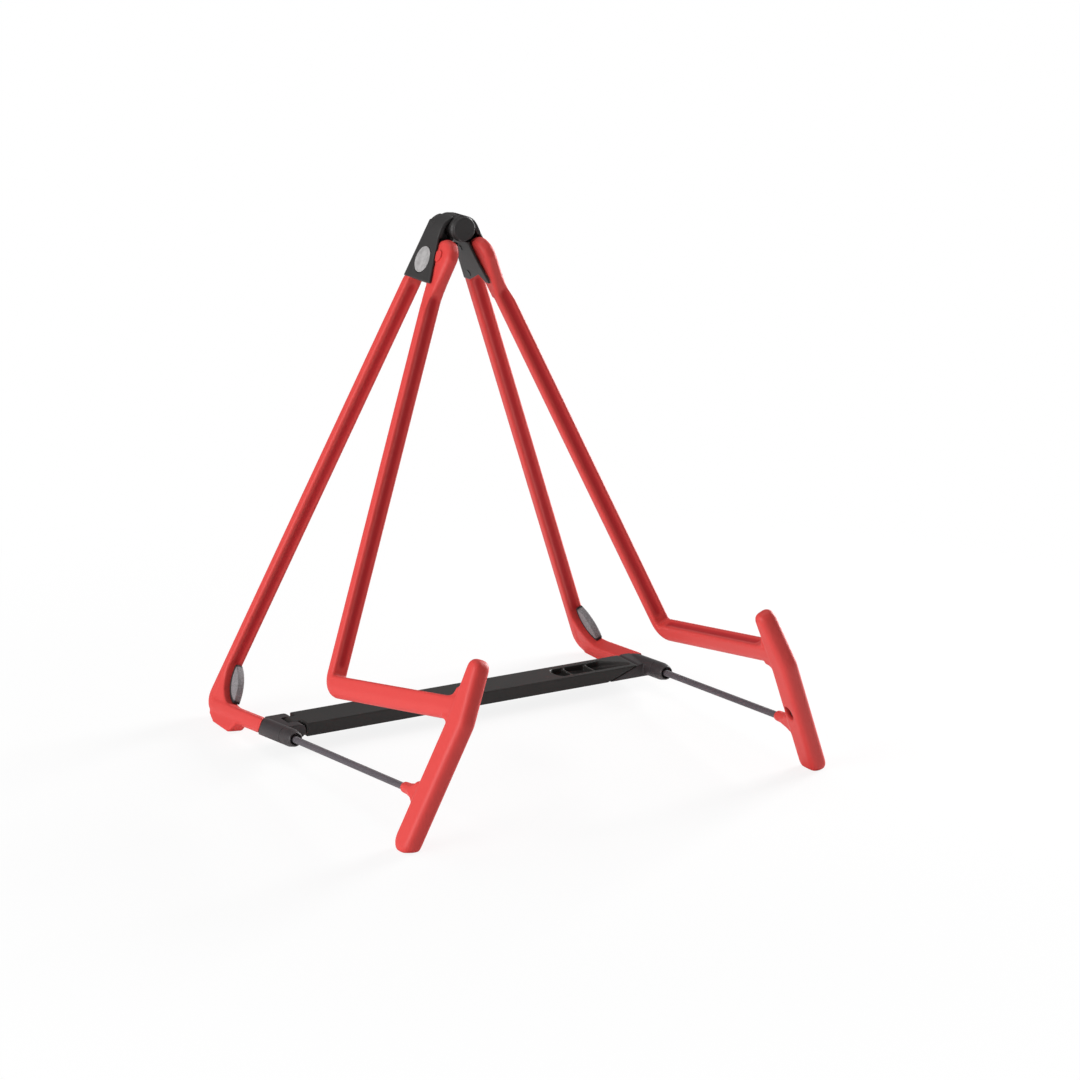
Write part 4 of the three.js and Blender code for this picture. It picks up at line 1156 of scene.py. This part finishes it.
@dataclass(frozen=True)
class LimitCord:
    """One side's taut cord with its two knots."""

    side: Side
    radius: float = 1.8 * MM
    facets: int = 20
    anchor_knot: Place = (-23.8365 * MM, -289.9001 * MM)
    bend: Place = (-167.5342 * MM, -276.4874 * MM)
    horn_knot: Place = (-174.8026 * MM, -266.2089 * MM)
    anchor_knot_radius: float = 2.5 * MM
    horn_knot_radius: float = 2.9 * MM
    knot_voxel: float = 0.25 * MM
    gap: float = 0.3 * MM  # between the cord's ends and the knots
    bend_radius: float = 3.6 * MM
    station: float = 2 * MM

    def build(self) -> None:
        """Builds the cord and its knots."""
        route = self.route()
        piece = self.tube(route)
        word = self.side.word
        CORD.dress(piece)
        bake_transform(piece)
        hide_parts(f"cord_{word}")
        2 * self.radius
        for node, body in (
            (f"cord_rear_knot_{word}", self.side.body),
            (f"cord_front_knot_{word}", self.side.front_body),
        ):
            Moulding(node, CORD, Slot.CORD, body, self.knot_voxel).build()

    def route(self) -> list[Vector]:
        """The cord's middle line from the anchor's knot to the horn's.

        Returns:
            Points close together, in the stand's frame.
        """
        first, bend, last = (Vector(p) for p in (self.anchor_knot, self.bend, self.horn_knot))
        before, after = (bend - first).normalized(), (last - bend).normalized()
        start = first + before * (self.anchor_knot_radius + self.gap)
        end = last - after * (self.horn_knot_radius + self.gap)
        reach = self.bend_radius * math.tan(before.angle(after) / 2)
        into, out_of = bend - before * reach, bend + after * reach
        turn = [Vector(place) for place in curve_points(into, bend, out_of)[1:-1]]
        flat = self.straight(start, into) + turn + self.straight(out_of, end)
        return [self.side.into_stand(p.x, p.y) for p in flat]

    def straight(self, start: Vector, end: Vector) -> list[Vector]:
        """Points along a straight stretch, both ends included."""
        count = max(1, round((end - start).length / self.station))
        return [start.lerp(end, i / count) for i in range(count + 1)]

    def tube(self, route: list[Vector]) -> bpy.types.Object:
        """A round tube along the route, closed at both ends, with its UV map.

        Args:
            route: Points of the middle line.

        Returns:
            The tube's object.
        """
        shape = bmesh.new()
        uv = shape.loops.layers.uv.new("along")
        verts = bmesh.ops.create_circle(
            shape, cap_ends=True, radius=self.radius, segments=self.facets
        )["verts"]
        edges = list(dict.fromkeys(edge for vert in verts for edge in vert.link_edges))
        seats = [self.seat(place, self.heading(route, i)) for i, place in enumerate(route)]
        bmesh.ops.transform(shape, matrix=seats[0], verts=verts)
        for here, there in zip(seats, seats[1:]):
            made = bmesh.ops.extrude_edge_only(shape, edges=edges)["geom"]
            verts = [item for item in made if isinstance(item, bmesh.types.BMVert)]
            edges = [
                item for item in made if isinstance(item, bmesh.types.BMEdge)
                and all(vert in verts for vert in item.verts)
            ]
            bmesh.ops.transform(shape, matrix=there @ here.inverted(), verts=verts)
        bmesh.ops.contextual_create(shape, geom=edges)
        bmesh.ops.recalc_face_normals(shape, faces=shape.faces)
        self.wrap(shape, uv, route)
        mesh = bpy.data.meshes.new(f"cord_{self.side.word}_braid")
        shape.to_mesh(mesh)
        shape.free()
        mesh.polygons.foreach_set("use_smooth", [True] * len(mesh.polygons))
        piece = bpy.data.objects.new(mesh.name, mesh)
        bpy.context.scene.collection.objects.link(piece)
        return piece

    def heading(self, route: list[Vector], i: int) -> Vector:
        """Direction of the route at one of its points."""
        return (route[min(i + 1, len(route) - 1)] - route[max(i - 1, 0)]).normalized()

    def seat(self, place: Vector, ahead: Vector) -> Matrix:
        """Turns Z to a direction and moves the origin to a place, without twist.

        Args:
            place: The place.
            ahead: The direction.

        Returns:
            The move.
        """
        out = self.side.outward
        across = ahead.cross(out).normalized()
        turned = Matrix((out, across, ahead)).transposed().to_4x4()
        return Matrix.Translation(place) @ turned

    def wrap(
        self, shape: bmesh.types.BMesh, uv: bmesh.types.BMLayerItem, route: list[Vector]
    ) -> None:
        """Lays the UV map: once round the cord, and along it from 0 to 1.

        Args:
            shape: The tube.
            uv: Its UV layer.
            route: Points of the middle line.
        """
        out, start, span = self.side.outward, route[0], route[-1] - route[0]

        def around(place: Vector) -> tuple[float, float]:
            """Finds a place about the straight line between the ends.

            Args:
                place: The place.

            Returns:
                Its turn about the line and its share along it.
            """
            share = (place - start).dot(span) / span.length_squared
            arm = place - (start + span * share)
            return math.atan2(arm.z, arm.dot(out)), share

        for face in shape.faces:
            base = around(face.calc_center_median())[0]
            for loop in face.loops:
                angle, along = around(loop.vert.co)
                angle += math.tau * round((base - angle) / math.tau)
                loop[uv].uv = (angle / math.tau, along)


@dataclass(frozen=True)
class Lamp:
    """A soft square lamp that faces the stand."""

    name: str
    place: tuple[float, float, float]  # in metres
    width: float
    power: float  # in watts

    def build(self, target: Vector) -> None:
        """Adds the lamp.

        Args:
            target: What it faces.
        """
        data = bpy.data.lights.new(self.name, "AREA")
        data.size = self.width
        data.energy = self.power
        lamp = bpy.data.objects.new(self.name, data)
        lamp.location = self.place
        towards = target - Vector(self.place)
        lamp.rotation_euler = towards.to_track_quat("-Z", "Y").to_euler()
        bpy.context.scene.collection.objects.link(lamp)


@dataclass(frozen=True)
class Studio:
    """Camera, floor, lamps and white surroundings."""

    target: tuple[float, float, float] = (0.0, SHIFT - 94.6 * MM, 118.2 * MM)
    distance: float = 1518 * MM
    lens: float = 100.0
    sensor: float = 36.0
    azimuth: float = math.radians(-29.70)
    elevation: float = math.radians(15.35)
    floor_size: float = 6.0
    floor_colour: Colour = (0.92, 0.92, 0.92)
    floor_roughness: float = 0.85
    floor_glow: float = 0.86  # share of plain white in the floor that the camera sees
    clear: Span = (0.22, 0.50)  # distances from the middle where the floor turns white
    ambient: float = 0.26
    lamps: tuple[Lamp, ...] = (
        Lamp("key", (-1.6, -0.15, 0.42), 1.0, 26.0),
        Lamp("rim", (1.4, 0.3, 0.45), 0.6, 34.0),
        Lamp("top", (0.0, 0.3, 1.7), 0.8, 5.0),
    )

    def camera(self) -> None:
        """Sets the camera at the photographed angle."""
        a, e = self.azimuth, self.elevation
        back = Vector((math.sin(a) * math.cos(e), -math.cos(a) * math.cos(e), math.sin(e)))
        data = bpy.data.cameras.new("camera")
        data.lens = self.lens
        data.sensor_width = self.sensor
        camera = bpy.data.objects.new("camera", data)
        camera.location = Vector(self.target) + back * self.distance
        camera.rotation_euler = back.to_track_quat("Z", "Y").to_euler()
        bpy.context.scene.collection.objects.link(camera)
        bpy.context.scene.camera = camera

    def build(self) -> None:
        """Builds the floor, the surroundings and the lamps."""
        bpy.context.scene.view_settings.view_transform = "Standard"
        self.floor()
        self.surroundings()
        for lamp in self.lamps:
            lamp.build(Vector(self.target))
        log.info("studio: %d lamps", len(self.lamps))

    def floor(self) -> None:
        """Builds the pale floor, which turns plain white away from the stand."""
        shape = bmesh.new()
        bmesh.ops.create_grid(shape, x_segments=1, y_segments=1, size=self.floor_size / 2)
        mesh = bpy.data.meshes.new("floor")
        shape.to_mesh(mesh)
        shape.free()
        floor = bpy.data.objects.new("floor", mesh)
        bpy.context.scene.collection.objects.link(floor)
        painter = Painter(bpy.data.materials.new("pale_floor"))
        colour = (*self.floor_colour, 1)
        matte = painter.node("BsdfPrincipled", Base_Color=colour, Roughness=self.floor_roughness)
        white = painter.node("Emission", Color=WHITE, Strength=1.0)
        reach = painter.node("VectorMath", {"operation": "LENGTH"}, {0: painter.place()})["Value"]
        glow = reach.ramp(*self.clear) * (1 - self.floor_glow) + self.floor_glow
        seen = painter.node("LightPath")["Is Camera Ray"]
        inputs = {0: glow * seen, 1: matte["BSDF"], 2: white["Emission"]}
        painter.end(painter.node("MixShader", None, inputs)["Shader"])
        mesh.materials.append(painter.owner)

    def surroundings(self) -> None:
        """Sets a white background and an even, plain light."""
        world = bpy.data.worlds.new("surroundings")
        bpy.context.scene.world = world
        painter = Painter(world)
        rays = painter.node("LightPath")
        seen = rays["Is Camera Ray"].larger(rays["Is Transmission Ray"])
        strength = seen * (1 - self.ambient) + self.ambient
        painter.end(painter.node("Background", Color=WHITE, Strength=strength)["Background"])


def main() -> None:
    """Builds the whole dressed stand."""
    logging.basicConfig(level=logging.INFO, format="%(message)s")
    studio = Studio()
    studio.camera()
    for side in Side:
        LimitCord(side).build()
    for side in Side:
        RearLeg(side).build()
        FrontLeg(side).build()
        ApexCap(side).build()
        RearCorner(side).build()
        FootFittings(side).build()
    CrossBar().build()
    studio.build()


if __name__ == "__main__":
    main()
